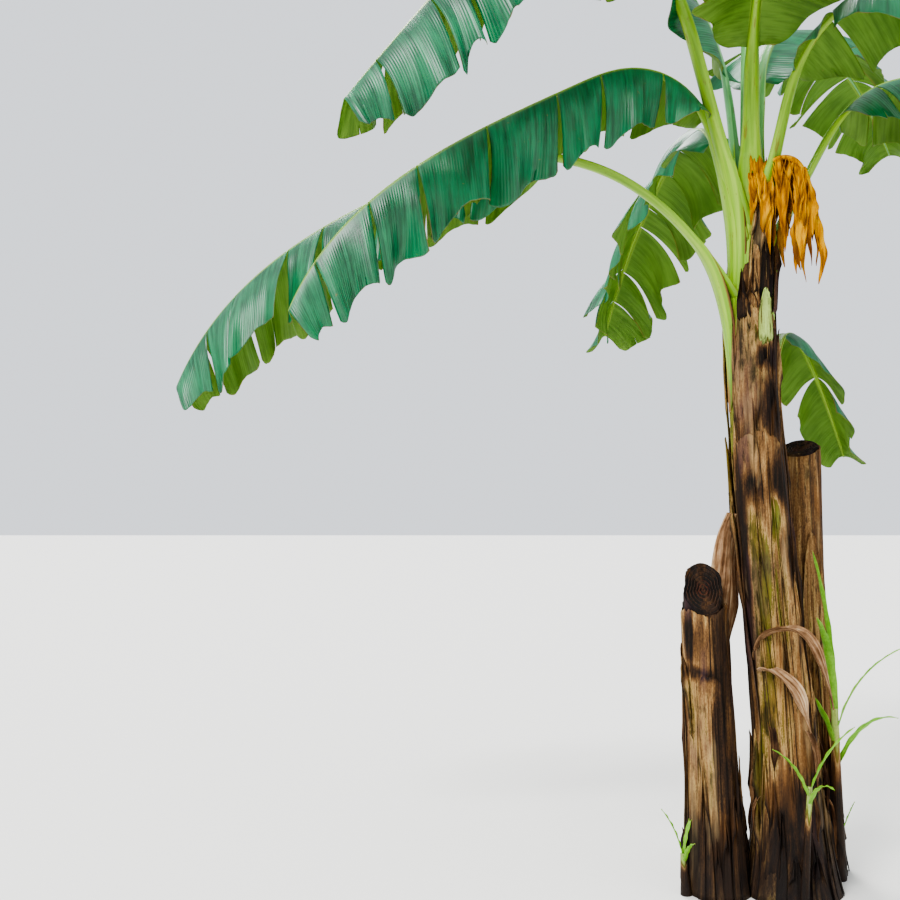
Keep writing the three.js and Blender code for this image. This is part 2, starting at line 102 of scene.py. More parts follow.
camera = bpy.data.objects.new("camera", bpy.data.cameras.new("camera"))
camera.data.lens = FOCAL_LENGTH
camera.location = EYE
camera.rotation_euler = (math.radians(90 + TILT), 0, 0)
bpy.context.scene.collection.objects.link(camera)
bpy.context.scene.camera = camera
print("camera at", EYE, "with a lens of", FOCAL_LENGTH, "mm")

# %% [markdown]
# A pale floor and a pale sky stand in for a studio. A nearby lamp would light the floor in a
# pool and leave the rest grey, so distant lamps are used: their light is even everywhere, and a
# wide angle keeps it soft. The key comes from the front left and high up, a weak fill from the
# right, and one from behind, because thin leaves glow where light comes through them.

# %% Floor and light
FLOOR_SIZE = 60
SKY = (0.9, 0.94, 1.0, 1)
SKY_STRENGTH = 1.1
LIGHTS = [
    ("key", (-4.0, -4.4, 6.4), 18, 3.4),
    ("fill", (5.0, -4.0, 2.6), 50, 0.5),
    ("behind", (-1.6, 5.0, 5.4), 24, 2.6),
]

floor_mesh = bmesh.new()
bmesh.ops.create_grid(floor_mesh, x_segments=1, y_segments=1, size=FLOOR_SIZE / 2)
floor = bpy.data.objects.new("floor", bpy.data.meshes.new("floor"))
floor_mesh.to_mesh(floor.data)
floor_mesh.free()
bpy.context.scene.collection.objects.link(floor)

world = bpy.data.worlds.new("sky")
world.use_nodes = True
world.node_tree.nodes["Background"].inputs["Color"].default_value = SKY
world.node_tree.nodes["Background"].inputs["Strength"].default_value = SKY_STRENGTH
bpy.context.scene.world = world

for name, place, width, power in LIGHTS:
    lamp = bpy.data.objects.new(name, bpy.data.lights.new(name, "SUN"))
    lamp.data.energy = power
    lamp.data.angle = math.radians(width)
    lamp.location = place
    lamp.rotation_euler = (-Vector(place)).to_track_quat("-Z", "Y").to_euler()
    bpy.context.scene.collection.objects.link(lamp)
bpy.context.scene.view_settings.look = "AgX - Medium High Contrast"
print("lights:", len(LIGHTS))

# %% [markdown]
# Shader maths is easier to read as Python than as a picture of wires. A Wire wraps a node's
# output, and + - * on it add Math nodes.

# %% Wires
class Wire:
    """The output of a node. Python's operators on it add Math nodes."""

    def __init__(self, finish, socket):
        self.finish = finish
        self.socket = socket

    def math(self, operation, first, second=0.0):
        return self.finish.node("ShaderNodeMath", {"operation": operation}, {0: first, 1: second})

    def __add__(self, other):
        return self.math("ADD", self, other)

    def __sub__(self, other):
        return self.math("SUBTRACT", self, other)

    def __rsub__(self, other):
        return self.math("SUBTRACT", other, self)

    def __mul__(self, other):
        return self.math("MULTIPLY", self, other)

    __radd__ = __add__
    __rmul__ = __mul__

    def sine(self):
        return self.math("SINE", self)

    def size(self):
        return self.math("ABSOLUTE", self)


# %% [markdown]
# A Finish is a material under way. Its node() adds any node, and the other methods are the few
# patterns that plants need: noise that can be stretched along the grain, a soft step, coats of
# colour one over the other, a bump, and light that comes through.

# %% Finishes
MIDDLE_SHEEN = 0.5
NOISE_ROUGHNESS = 0.6


def color(code):
    """Turns the code of a screen colour, such as "1f6b4a", into the light that Blender uses."""
    seen = [int(code[k : k + 2], 16) / 255 for k in (0, 2, 4)]
    return tuple(((v + 0.055) / 1.055) ** 2.4 if v > 0.04 else v / 12.92 for v in seen) + (1,)


class Finish:
    """A material under way. Its shapes carry a mark: three numbers for each point."""

    def __init__(self, name, roughness, sheen=MIDDLE_SHEEN):
        self.material = bpy.data.materials.new(name)
        self.material.use_nodes = True
        self.tree = self.material.node_tree
        self.shader = self.tree.nodes["Principled BSDF"]
        self.shader.inputs["Roughness"].default_value = roughness
        self.shader.inputs["Specular IOR Level"].default_value = sheen
        self.place = self.node("ShaderNodeTexCoord", output="Object")

    def node(self, kind, settings=None, inputs=None, output=0):
        made = self.tree.nodes.new(kind)
        for name, value in (settings or {}).items():
            if name == "stops":
                self.fill_ramp(made.color_ramp, value)
            else:
                setattr(made, name, value)
        for name, value in (inputs or {}).items():
            self.feed(made.inputs[name], value)
        return Wire(self, made.outputs[output])

    def feed(self, socket, value):
        """Gives a socket a wire, a number or a colour's code."""
        if isinstance(value, Wire):
            self.tree.links.new(value.socket, socket)
        else:
            socket.default_value = color(value) if isinstance(value, str) else value

    def fill_ramp(self, ramp, stops):
        while len(ramp.elements) < len(stops):
            ramp.elements.new(1)
        for element, (place, code) in zip(ramp.elements, stops):
            element.position = place
            element.color = color(code)

    def marks(self):
        mark = self.node("ShaderNodeAttribute", {"attribute_name": "mark"}, output="Vector")
        return [self.node("ShaderNodeSeparateXYZ", {}, {0: mark}, output=k) for k in range(3)]

    def noise(self, scale, stretch=(1, 1, 1), detail=3, where=None):
        squeezed = {"Vector": where or self.place, "Scale": stretch}
        inputs = {"Scale": scale, "Detail": detail, "Roughness": NOISE_ROUGHNESS}
        inputs["Vector"] = self.node("ShaderNodeMapping", {}, squeezed)
        return self.node("ShaderNodeTexNoise", {}, inputs)

    def point(self, x, y, z):
        return self.node("ShaderNodeCombineXYZ", {}, {0: x, 1: y, 2: z})

    def step(self, value, low, high):
        """0 at low and 1 at high, smooth between them."""
        inputs = {"Value": value, "From Min": low, "From Max": high}
        return self.node("ShaderNodeMapRange", {"interpolation_type": "SMOOTHSTEP"}, inputs)

    def blend(self, share, first, second):
        inputs = {0: share, 6: first, 7: second}
        return self.node("ShaderNodeMix", {"data_type": "RGBA"}, inputs, output=2)

    def coats(self, skin, layers):
        """Lays colours over a skin, one after the other, each with the share that covers."""
        for share, coat in layers:
            skin = self.blend(share, skin, coat)
        return skin

    def ramp(self, value, stops):
        return self.node("ShaderNodeValToRGB", {"stops": stops}, {0: value})

    def paint(self, skin, roughness=None):
        self.feed(self.shader.inputs["Base Color"], skin)
        if roughness is not None:
            self.feed(self.shader.inputs["Roughness"], roughness)

    def bump(self, height, distance):
        bumped = self.node("ShaderNodeBump", {}, {"Height": height, "Distance": distance})
        self.feed(self.shader.inputs["Normal"], bumped)

    def glow(self, tint, share):
        """Lets light through: share of it leaves on the far side, tinted."""
        through = self.node("ShaderNodeBsdfTranslucent", {}, {"Color": tint})
        solid = Wire(self, self.shader.outputs[0])
        both = self.node("ShaderNodeMixShader", {}, {0: share, 1: solid, 2: through})
        self.feed(self.tree.nodes["Material Output"].inputs["Surface"], both)


# %% [markdown]
# The floor is a plain, pale, matt surface.

# %% Floor finish
paper = Finish("pale_floor", 0.8)
paper.paint("dcdad5")
floor.data.materials.append(paper.material)
print("floor finish:", paper.material.name)

# %% [markdown]
# A leaf is deep blue-green and satin above, and dull yellow-green below. Fine side veins run
# from the midrib to the margin, a centimetre apart, and the leaf is lightly ribbed along them.
# Pale patches on its outer part are a painted sheen, where the sky's reflection would lie. The
# mark of a leaf is its way along the blade in metres, its way out from the midrib as a share, and
# how worn it is. Torn edges dry to tan and brown.

# %% Leaf finishes
VEIN_GAP = 0.011
RIBS_PER_METRE = 60
LEAF_RELIEF = 0.0016
LEAF_LIGHT = 0.32


def leaf_finish(name, roughness, sheen, deep, pale, rib, dry, through, veins=1.0):
    leaf = Finish(name, roughness, sheen)
    along, out, worn = leaf.marks()
    band = leaf.noise(1.0, where=leaf.point(along * RIBS_PER_METRE, out * 1.5, 0))
    cloud = leaf.noise(5.0, detail=4)
    vein = (along * (2 * math.pi / VEIN_GAP)).sine()
    # painted sheen: pale patches on the outer blade stand in for the sky's reflection
    painted_sheen = leaf.step(leaf.noise(3.6, detail=2), 0.5, 0.62) * leaf.step(out, 0.1, 0.6)
    scorch = leaf.step(worn + (leaf.noise(17.0) - 0.5) * 1.5, 0.75, 1.15)
    skin = leaf.blend(leaf.step(band * 0.55 + cloud * 0.45, 0.36, 0.64), deep, pale)
    skin = leaf.coats(skin, [
        ((vein * 0.5 + 0.5) * (0.16 * veins), pale),
        # the painted sheen, stronger on the glossier upper face
        (painted_sheen * (0.4 * sheen), pale),
        (leaf.step(out, 0.05, 0.0) * 0.85, rib),
        (leaf.step(leaf.noise(42.0), 0.69, 0.76) * 0.5, dry),
        (scorch, dry),
    ])
    leaf.paint(skin, roughness + cloud * 0.14 + scorch * 0.3)
    leaf.bump((vein * (0.2 * veins) + band * 0.6) * leaf.step(out, 0.02, 0.2), LEAF_RELIEF)
    leaf.glow(through, LEAF_LIGHT)
    return leaf


leaf_above = leaf_finish(
    "leaf_above", 0.33, 0.75,
    deep="05422c", pale="238a5c", rib="a4c35a", dry="8a6a35", through="5fae2c",
)
leaf_below = leaf_finish(
    "leaf_below", 0.46, 0.35,
    deep="48661a", pale="76983a", rib="b4cc5c", dry="9a7a40", through="93b83a",
)
print("leaf finishes:", leaf_above.material.name, leaf_below.material.name)

# %% [markdown]
# Stalks are smooth, waxy and yellow-green, with thin brown streaks and a brown line along each
# edge. Their mark is the way round the stalk, the way along it in metres, and its age: below 0
# is the bluish green of the youngest leaves, 0 is fresh and 1 is a dry brown sheath.

# %% Stalk finish
STALK_RELIEF = 0.0013

stalk = Finish("stalk", 0.36, 0.35)
turn, way, age = stalk.marks()
unrolled = stalk.point(turn, way, age)
streak = stalk.noise(1.0, (4, 2.2, 1), 5, unrolled)
smear = stalk.noise(1.0, (3, 5, 1), 5, unrolled)
flecks = stalk.noise(90.0, (1, 1, 0.25))
aged = stalk.step(age + (streak - 0.5) * 0.9, 0.3, 0.6)
fresh = stalk.ramp(streak, [(0.3, "5e861e"), (0.5, "7fa82e"), (0.7, "a3c24a")])
brown = stalk.ramp(streak, [(0.3, "24160f"), (0.5, "6b4526"), (0.7, "ab7c40")])
skin = stalk.coats(fresh, [
    (stalk.step(age, -0.05, -0.35) * 0.7, "6fbd8c"),
    (stalk.step(flecks, 0.6, 0.74) * 0.6, "6d5a2c"),
    (stalk.step(smear, 0.6, 0.68) * 0.7, "7a5a22"),
    (aged, brown),
])
stalk.paint(skin, 0.34 + aged * 0.4)
stalk.bump(streak + flecks * 0.3, STALK_RELIEF)
print("stalk finish:", stalk.material.name)

# %% [markdown]
# The stem's dry sheaths go through many colours as they age: green, olive, tan, brown and at
# last nearly black where they rot. One ramp holds them all, and the third number of the mark says
# where on it a sheath begins. Fibres, strands and stains make it uneven, the green end less than
# the dry one. Long fibres run up every sheath. The first number is the way across the sheath
# from -1 to 1, so that its two edges can be darker: dried edges, with painted shade where one
# sheath lies over the next. The second is its height, so that the foot can be darker: partly wet
# soil, and partly painted shade near the ground.

# %% Sheath finish
SHEATH_AGES = [
    (0.0, "0c0907"),
    (0.14, "1f160f"),
    (0.28, "3c2818"),
    (0.42, "614528"),
    (0.54, "84633e"),
    (0.64, "aa8c5a"),
    (0.74, "62541f"),
    (0.86, "6c6e2a"),
    (1.0, "aabf6c"),
]
DRY_SHEEN = 0.15
SHEATH_RELIEF = 0.004


def sheath_finish(name, roughness, spread):
    bark = Finish(name, roughness, DRY_SHEEN)
    across, height, tone = bark.marks()
    fibre = bark.noise(190.0, (1, 1, 0.03), 4)
    strand = bark.noise(46.0, (1, 1, 0.05), 5)
    stain = bark.noise(7.5, (1, 1, 0.4), 6)
    grain = bark.noise(230.0, (1, 1, 0.5), 2)
    tint = bark.noise(5.0, (1, 1, 0.35))
    flaw = bark.noise(85.0, (1, 1, 0.2), 5)
    bleach = bark.noise(13.0, (1, 1, 0.12), 4)
    uneven = (strand - 0.5) * spread + (fibre - 0.5) * 0.4 + (stain - 0.5) * 0.5 + (grain - 0.5) * 0.3
    shade = tone + uneven * (1 - bark.step(tone, 0.66, 0.74) * 0.6)
    skin = bark.coats(bark.ramp(shade, SHEATH_AGES), [
        (bark.step(tint, 0.54, 0.64) * 0.45, "4a343a"),
        (bark.step(tint, 0.46, 0.38) * 0.25, "86582c"),
        (bark.step(stain, 0.53, 0.62) * bark.step(strand, 0.36, 0.6) * 0.8, "150e0c"),
        (bark.step(flaw, 0.57, 0.66) * 0.6, "120c0a"),
        (bark.step(bleach, 0.58, 0.68) * 0.3, "c2a678"),
        # darker long edges: partly dried edges, partly painted shade where one sheath lies over the next
        (bark.step(across.size(), 0.88, 1.0) * 0.85, "140d09"),
        # darker foot: partly wet soil, partly painted shade near the ground
        (bark.step(height + (strand - 0.5) * 0.6, 0.58, 0.0) * 0.88, "1b1614"),
    ])
    bark.paint(skin, roughness + fibre * 0.2)
    bark.bump(fibre * 0.6 + strand, SHEATH_RELIEF)
    return bark


bark = sheath_finish("dry_sheath_skin", 0.6, 0.9)
young_skin = sheath_finish("young_shoot_skin", 0.4, 0.3)
print("sheath ages:", len(SHEATH_AGES))

# %% [markdown]
# A cut stem shows the rolled sheaths as dark rings round a red-brown heart. The first number of
# its mark is the way out from the heart, and the second the phase of the rings.

# %% Cut finish
CUT_RELIEF = 0.003

cut = Finish("cut_face", 0.7, DRY_SHEEN)
ring, phase = cut.marks()[:2]
wobble = cut.noise(28.0, detail=4)
rings = (phase + wobble * 2).sine()
face = cut.blend(cut.step(rings, -0.3, 0.9) * 0.8, "0b0807", "4a3122")
face = cut.coats(face, [
    (cut.step(ring + (wobble - 0.5) * 0.3, 0.5, 0.16) * 0.8, "552e1e"),
    (cut.step(ring, 0.84, 0.93) * 0.85, "0b0807"),
])
cut.paint(face)
cut.bump(wobble, CUT_RELIEF)
print("cut finish:", cut.material.name)

# %% [markdown]
# The withered leaf is papery orange, and browner at its ends. Loose dry sheaths are papery too,
# but a pinkish brown, and thin enough to let some light through. The leaves of the suckers take
# the leaf's own finish in a light fresh green.

# %% Withered, papery and young finishes
PAPERY_AGES = [(0.15, "20140e"), (0.38, "67492f"), (0.6, "a07d5c"), (0.85, "d2b792")]
PAPERY_RELIEF = 0.004
PAPERY_LIGHT = 0.15
WITHERED_RELIEF = 0.003
WITHERED_LIGHT = 0.22

withered = Finish("withered_blade", 0.66, DRY_SHEEN)
down, tone = withered.marks()[1:]
crease = withered.noise(60.0, (1, 1, 0.12), 4)
orange = withered.ramp(crease, [(0.36, "6e4404"), (0.5, "bd7f00"), (0.64, "e2ae1c")])
burnt = withered.step(down + (tone - 0.5) * 0.9 + (crease - 0.5) * 0.8, 0.72, 1.05)
withered.paint(withered.blend(burnt * 0.85, orange, "5a3216"))
withered.bump(crease, WITHERED_RELIEF)
withered.glow("e89c00", WITHERED_LIGHT)

papery = Finish("papery_dry_leaf", 0.75, DRY_SHEEN)
across, along, tone = papery.marks()
crumple = papery.noise(24.0, detail=5)
vein = papery.noise(1.0, (9, 8, 1), 5, papery.point(across, along, tone))
shade = tone + (crumple - 0.5) * 0.6 + (vein - 0.5) * 1.3
papery.paint(papery.ramp(shade, PAPERY_AGES))
papery.bump(crumple + vein * 0.8, PAPERY_RELIEF)
papery.glow("c99468", PAPERY_LIGHT)

young_leaf = leaf_finish(
    "young_leaf", 0.4, 0.35,
    deep="67a52c", pale="9ccc4c", rib="d2e695", dry="a98d4a", through="a9dc50", veins=0.2,
)
print("soft finishes:", [finish.material.name for finish in (withered, papery, young_leaf)])

# %% [markdown]
# Every shape below starts as one of two simple things. A patch is a flat grid and a tube is a
# cylinder with many rings, and a rule moves each of their points to its place and gives it its
# mark. bmesh makes their faces, so no list of faces is written here.

# %% Patches and tubes
def mark_layer(bm):
    return bm.verts.layers.float_vector.get("mark") or bm.verts.layers.float_vector.new("mark")


def settle(bm, points, rule):
    """Moves new points of a mesh to where the rule puts them, with their marks."""
    where, marks = rule(np.array([v.co for v in points]))
    layer = mark_layer(bm)
    for point, position, mark in zip(points, where, np.stack(np.broadcast_arrays(*marks), axis=-1)):
        point.co = position
        point[layer] = mark


def patch(bm, columns, rows, rule, turned=False):
    """A grid. The rule gets the ways x and y over it, both from 0 to 1."""
    mark_layer(bm)
    made = bmesh.ops.create_grid(bm, x_segments=columns, y_segments=rows, size=0.5)["verts"]
    settle(bm, made, lambda rest: rule(rest[:, 0] + 0.5, rest[:, 1] + 0.5))
    if turned:
        faces = {face for point in made for face in point.link_faces}
        bmesh.ops.reverse_faces(bm, faces=list(faces))


def tube(bm, sides, rings, rule):
    """A closed cylinder. The rule gets the angle round it and the way along it, from 0 to 1."""
    mark_layer(bm)
    before = len(bm.verts)
    made = bmesh.ops.create_cone(
        bm, cap_ends=True, segments=sides, radius1=1, radius2=1, depth=1
    )["verts"]
    tall = {e for v in made for e in v.link_edges if abs(e.verts[0].co.z - e.verts[1].co.z) > 0.5}
    bmesh.ops.subdivide_edges(bm, edges=list(tall), cuts=rings - 1, use_grid_fill=True)
    bm.verts.ensure_lookup_table()
    points = bm.verts[before:]
    settle(bm, points, lambda rest: rule(np.arctan2(rest[:, 1], rest[:, 0]), rest[:, 2] + 0.5))


def dress(name, bm, finishes, nodes=(), wall=0.0):
    """Makes a mesh a piece of the plant. A wall gives a sheet its thickness, and the underside of
    a sheet with two finishes takes the second."""
    mesh = bpy.data.meshes.new(name)
    bm.to_mesh(mesh)
    bm.free()
    for finish in finishes:
        mesh.materials.append(finish.material)
    mesh.shade_smooth()
    piece = bpy.data.objects.new(name, mesh)
    bpy.context.scene.collection.objects.link(piece)
    if wall:
        solid = piece.modifiers.new("wall", "SOLIDIFY")
        solid.thickness = wall
        solid.offset = 0
        solid.material_offset = len(finishes) - 1
    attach(piece, "root")
    if nodes:
        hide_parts(*nodes)
    print(name, len(mesh.polygons), "faces")


# %% [markdown]
# A rib is a line with a frame at every point: the way along it, its left side, its upper face and
# its slope. It starts at a heading and follows a slope, and it is added up in small steps. Each
# shape that grows on a rib is drawn by stepping off it to the side and up.

# %% Spines
SPINE_STEPS = 64


class Place(namedtuple("Place", "point along side up lift")):
    """A place on a spine, or many at once."""

    def off(self, sideways, upwards):
        return self.point + self.side * column(sideways) + self.up * column(upwards)


class Spine:
    """The line that a rib follows. at(s) gives its place for ways s along it."""

    def __init__(self, start, heading, veer, length, slope):
        steps = np.arange(SPINE_STEPS + 2)
        self.step = length / SPINE_STEPS
        self.lift = np.radians(slope(steps * self.step))
        out = polar(heading + veer * (steps / SPINE_STEPS) ** 2)
        self.along = out * column(np.cos(self.lift)) + UPRIGHT * column(np.sin(self.lift))
        self.side = np.stack([-out[:, 1], out[:, 0], 0 * out[:, 0]], axis=-1)
        self.up = np.cross(self.along, self.side)
        self.point = start + np.cumsum(self.along, axis=0) * self.step - self.along * self.step

    def at(self, s):
        place = np.clip(np.asarray(s) / self.step, 0, SPINE_STEPS)
        whole = np.floor(place).astype(int)
        share = place - whole
        found = []
        for track in (self.point, self.along, self.side, self.up):
            value = mix(track[whole], track[whole + 1], column(share))
            if track is not self.point:
                value = value / np.linalg.norm(value, axis=-1, keepdims=True)
            found.append(value)
        return Place(*found, mix(self.lift[whole], self.lift[whole + 1], share))


print("a spine has", SPINE_STEPS, "steps")

# %% [markdown]
# The main stem leans a little, narrows to a neck under its crown and flares at the foot. The
# wrapped sheaths inside it make its section slightly lobed. The cut stems are straight and end in
# a slanting cut. Whatever grows on a stem asks it the same three things, so each kind of stem is
# a class with an axis, a radius and a top edge.

# %% Stems
STEM_HEIGHT = 2.56
STEM_LEAN = 0.125
LEAN_HEIGHT = 2.2
WAIST_RADIUS = 0.097
NECK_HEIGHT = 2.02
NECK_RADIUS = 0.082
CROWN_RADIUS = 0.04
FOOT_FLARE = 0.072
FLARE_HEIGHT = 0.24
STUMP_FLARE_HEIGHT = 0.15
LOBES = [(3, 0.03, 0.42), (5, 0.015, -0.3)]


class Stem:
    """What every stem can tell: the point at a height z and a reach from its axis."""

    def point(self, angle, z, reach):
        return self.axis(z) + polar(np.degrees(angle)) * column(reach)


class MainStem(Stem):
    """The stem that carries the crown."""

    def axis(self, z):
        share = np.clip(z / LEAN_HEIGHT, 0, 1)
        lean = -STEM_LEAN * (1 - np.cos(np.pi * share)) / 2
        return np.stack([lean, 0 * lean, z + 0 * lean], axis=-1)

    def plain_radius(self, z):
        waist = mix(WAIST_RADIUS, NECK_RADIUS, np.clip(z / NECK_HEIGHT, 0, 1))
        tapering = smooth((z - NECK_HEIGHT) / (STEM_HEIGHT - NECK_HEIGHT))
        return mix(waist, CROWN_RADIUS, tapering) + FOOT_FLARE * np.exp(-z / FLARE_HEIGHT)

    def radius(self, angle, z):
        lobes = sum(size * np.cos(count * angle + z / drift) for count, size, drift in LOBES)
        return self.plain_radius(z) * (1 + lobes)

    def top(self, angle):
        return STEM_HEIGHT + 0 * angle


class StraightStem(Stem):
    """A straight stem, with the place of its foot and the way that its top leans."""

    def __init__(self, x, y, lean_x, lean_y, height):
        self.foot = np.array([x, y, 0])
        self.lean = np.array([lean_x, lean_y, 0])
        self.height = height

    def axis(self, z):
        return self.foot + self.lean * column(z / self.height) + UPRIGHT * column(z)


class CutStem(StraightStem):
    """A stem that was cut after harvest. The cut slants and faces a heading."""

    def __init__(self, x, y, lean_x, lean_y, height, foot, waist, top, slant, facing):
        super().__init__(x, y, lean_x, lean_y, height)
        self.radii = (foot, waist, top)
        self.slant = slant
        self.facing = math.radians(facing)

    def radius(self, angle, z):
        foot, waist, top = self.radii
        return mix(waist, top, z / self.height) + (foot - waist) * np.exp(-z / STUMP_FLARE_HEIGHT)

    def top(self, angle):
        return self.height - self.slant * self.radii[2] * np.cos(angle - self.facing)


main_stem = MainStem()
CUT_STEMS = {
    "front": CutStem(-0.271, -0.012, -0.042, -0.006, 1.1, 0.11, 0.095, 0.073, 1.2, 262),
    "back": CutStem(0.168, 0.214, -0.04, 0.01, 1.625, 0.112, 0.076, 0.066, 0.5, 240),
}
print("stems:", 1 + len(CUT_STEMS), "the tallest", STEM_HEIGHT, "m")

# %% [markdown]
# The surface of a stem isn't smooth. Fibres run up it as fine ridges, and it is dented where
# sheaths have dried. A few waves with many turns round the stem, which drift as they climb, give
# that relief to the mesh itself, so that it shows in the outline too.

# %% Relief of a stem
RIDGES = [(23, 2.1, 0.3), (37, -3.2, 1.7), (61, 4.4, 2.6)]
DENTS = [(2, 5.1, 0.4), (4, -8.3, 2.2), (7, 11.7, 4.1)]
RIDGE_HEIGHT = 0.0011
DENT_DEPTH = 0.0032
EVEN_FOOT = 0.3


def waves(rows, angle, z):
    return sum(np.sin(count * angle + drift * z + shift) for count, drift, shift in rows)


def dented(angle, z):
    return DENT_DEPTH * waves(DENTS, angle, z) * np.clip(z / EVEN_FOOT, 0, 1)


def relief(angle, z):
    return RIDGE_HEIGHT * waves(RIDGES, angle, z) + dented(angle, z)


print("waves round a stem:", len(RIDGES) + len(DENTS))

# %% [markdown]
# The colours of the stem are not the same all round. Where it is wet it is black, where the
# sheaths died last it is olive or still green, and where they are dry it is tan. Some dark patches
# are painted shade: a long one down the shaded left of the stem, and a dark foot that is partly
# wet soil and partly painted shade near the ground. Each such patch is an oval with a heading, a
# height, its half size round the stem in degrees and up it in metres, and the place on the ramp
# of ages that it pulls the sheaths under it towards.

# %% Stained and shaded patches
TonePatch = namedtuple("TonePatch", "heading height around tall tone")
TONE_PATCH_STRENGTH = 1.5
STAINS_AND_SHADE = [
    TonePatch(196, 2.1, 22, 0.5, 0.93),
    TonePatch(176, 1.75, 14, 0.4, 0.85),
    TonePatch(300, 2.35, 50, 0.22, 0.1),
    TonePatch(262, 2.26, 26, 0.1, 0.36),
    TonePatch(234, 2.02, 34, 0.16, 0.6),
    TonePatch(288, 2.08, 22, 0.1, 0.98),
    TonePatch(290, 1.935, 24, 0.045, 0.04),
    TonePatch(280, 1.875, 30, 0.035, 0.6),
    TonePatch(296, 1.76, 34, 0.1, 0.03),
    TonePatch(240, 1.78, 24, 0.1, 0.5),
    TonePatch(256, 1.6, 40, 0.09, 0.53),
    TonePatch(236, 1.46, 24, 0.055, 0.06),
    TonePatch(254, 1.35, 11, 0.07, 0.2),
    TonePatch(304, 1.5, 24, 0.09, 0.06),
    TonePatch(281, 1.35, 14, 0.09, 0.93),
    TonePatch(232, 1.16, 30, 0.24, 0.79),
    # painted shade: a long dark patch down the shaded left side of the stem
    TonePatch(205, 1.3, 14, 0.3, 0.08),
    TonePatch(300, 1.22, 16, 0.1, 0.3),
    TonePatch(290, 1.0, 18, 0.2, 0.62),
    TonePatch(268, 0.7, 16, 0.26, 0.6),
    TonePatch(236, 0.72, 20, 0.24, 0.76),
    TonePatch(208, 0.4, 14, 0.2, 0.83),
    # darker foot on the front: partly wet soil, partly painted shade near the ground
    TonePatch(270, 0.26, 38, 0.16, 0.14),
    TonePatch(60, 1.5, 40, 0.3, 0.12),
    TonePatch(110, 1.2, 26, 0.4, 0.74),
    TonePatch(20, 0.9, 30, 0.3, 0.58),
    TonePatch(90, 2.1, 40, 0.2, 0.14),
    TonePatch(30, 1.9, 26, 0.3, 0.8),
    TonePatch(150, 0.6, 30, 0.3, 0.1),
]
CUT_STAINS_AND_SHADE = [
    TonePatch(212, 0.92, 16, 0.09, 0.04),
    TonePatch(250, 0.9, 22, 0.07, 0.42),
    TonePatch(238, 0.8, 50, 0.018, 0.06),
    TonePatch(300, 0.6, 26, 0.5, 0.2),
    TonePatch(226, 0.55, 16, 0.16, 0.6),
    # darker foot of the cut stem: partly wet soil, partly painted shade near the ground
    TonePatch(250, 0.16, 60, 0.12, 0.2),
]


def stained_and_shaded(stains_and_shade, angle, z, tone):
    for stain in stains_and_shade:
        away = (np.degrees(angle) - stain.heading + 180) % 360 - 180
        held = np.exp(-((away / stain.around) ** 2) - ((z - stain.height) / stain.tall) ** 2)
        tone = mix(tone, stain.tone, smooth(held * TONE_PATCH_STRENGTH))
    return tone


CORE_TONE = 0.25
LOW_RINGS = 1.1


def main_stem_rule(angle, share):
    z = STEM_HEIGHT * share**LOW_RINGS
    where = main_stem.point(angle, z, main_stem.radius(angle, z) + relief(angle, z))
    return where, (0 * angle, z, stained_and_shaded(STAINS_AND_SHADE, angle, z, CORE_TONE + 0 * z))


bm = bmesh.new()
tube(bm, sides=132, rings=250, rule=main_stem_rule)
dress("main_stem_core", bm, [bark], ["main_stem"])

# %% [markdown]
# On a cut stem the same tube turns inwards over its rim and closes at the middle of the cut.
# The cut sheaths dry at different rates, so the cut face sinks and rises in rings.

# %% Cut stems
RIM_SHARE = 0.68
RING_DEPTH = 0.003
RING_PHASE = 40
FACE_SINK = 0.008
HEART = 0.03


def cut_stem_rule(stem):
    def rule(angle, share):
        on_side = share <= RIM_SHARE
        up = np.clip(share / RIM_SHARE, 0, 1)
        inward = np.clip((share - RIM_SHARE) / (1 - RIM_SHARE), 0, 1)
        z = stem.top(angle) * up
        side_reach = stem.radius(angle, z) + relief(angle, z)
        ring = mix(1, HEART, inward)
        middle_height = mix(stem.height, stem.top(angle), ring)
        phase = RING_PHASE * ring + 2 * np.sin(angle) + 0.8 * np.sin(3 * angle)
        sunk = RING_DEPTH * np.sin(phase) - FACE_SINK * (1 - ring)
        height = np.where(on_side, z, middle_height + sunk * np.clip(inward * 20, 0, 1))
        reach = np.where(on_side, side_reach, side_reach * ring)
        tone = 0.5 + 0.1 * np.sin(2 * angle + 4 * z) - 0.4 * smooth((up - 0.86) / 0.1)
        marks = (np.where(on_side, 0, ring), np.where(on_side, z, phase), tone)
        return stem.point(angle, height, reach), marks

    return rule


def cap_faces(bm, stem):
    """The faces of the cut, which take the second finish."""
    for face in bm.faces:
        middle = face.calc_center_median()
        if face.normal.z > 0.5 and middle.z > stem.height / 2:
            face.material_index = 1


for name, stem in CUT_STEMS.items():
    bm = bmesh.new()
    tube(bm, sides=96, rings=180, rule=cut_stem_rule(stem))
    bm.normal_update()
    cap_faces(bm, stem)
    dress(f"cut_stem_{name}_core", bm, [bark, cut], [f"cut_stem_{name}"])

# %% [markdown]
# Old sheaths stay on the stem, one over the other. A few are broad, and their tops are broken
# off almost level. Each is a curved sheet of its own that hugs the stem: a heading, how far it
# reaches round, its foot and top, its place on the ramp of ages, how far it peels, and how much
# it narrows to its top. A foot above the ground is narrower too, and sinks into the sheaths
# under it, so that no sheath ends in a loose, straight edge.

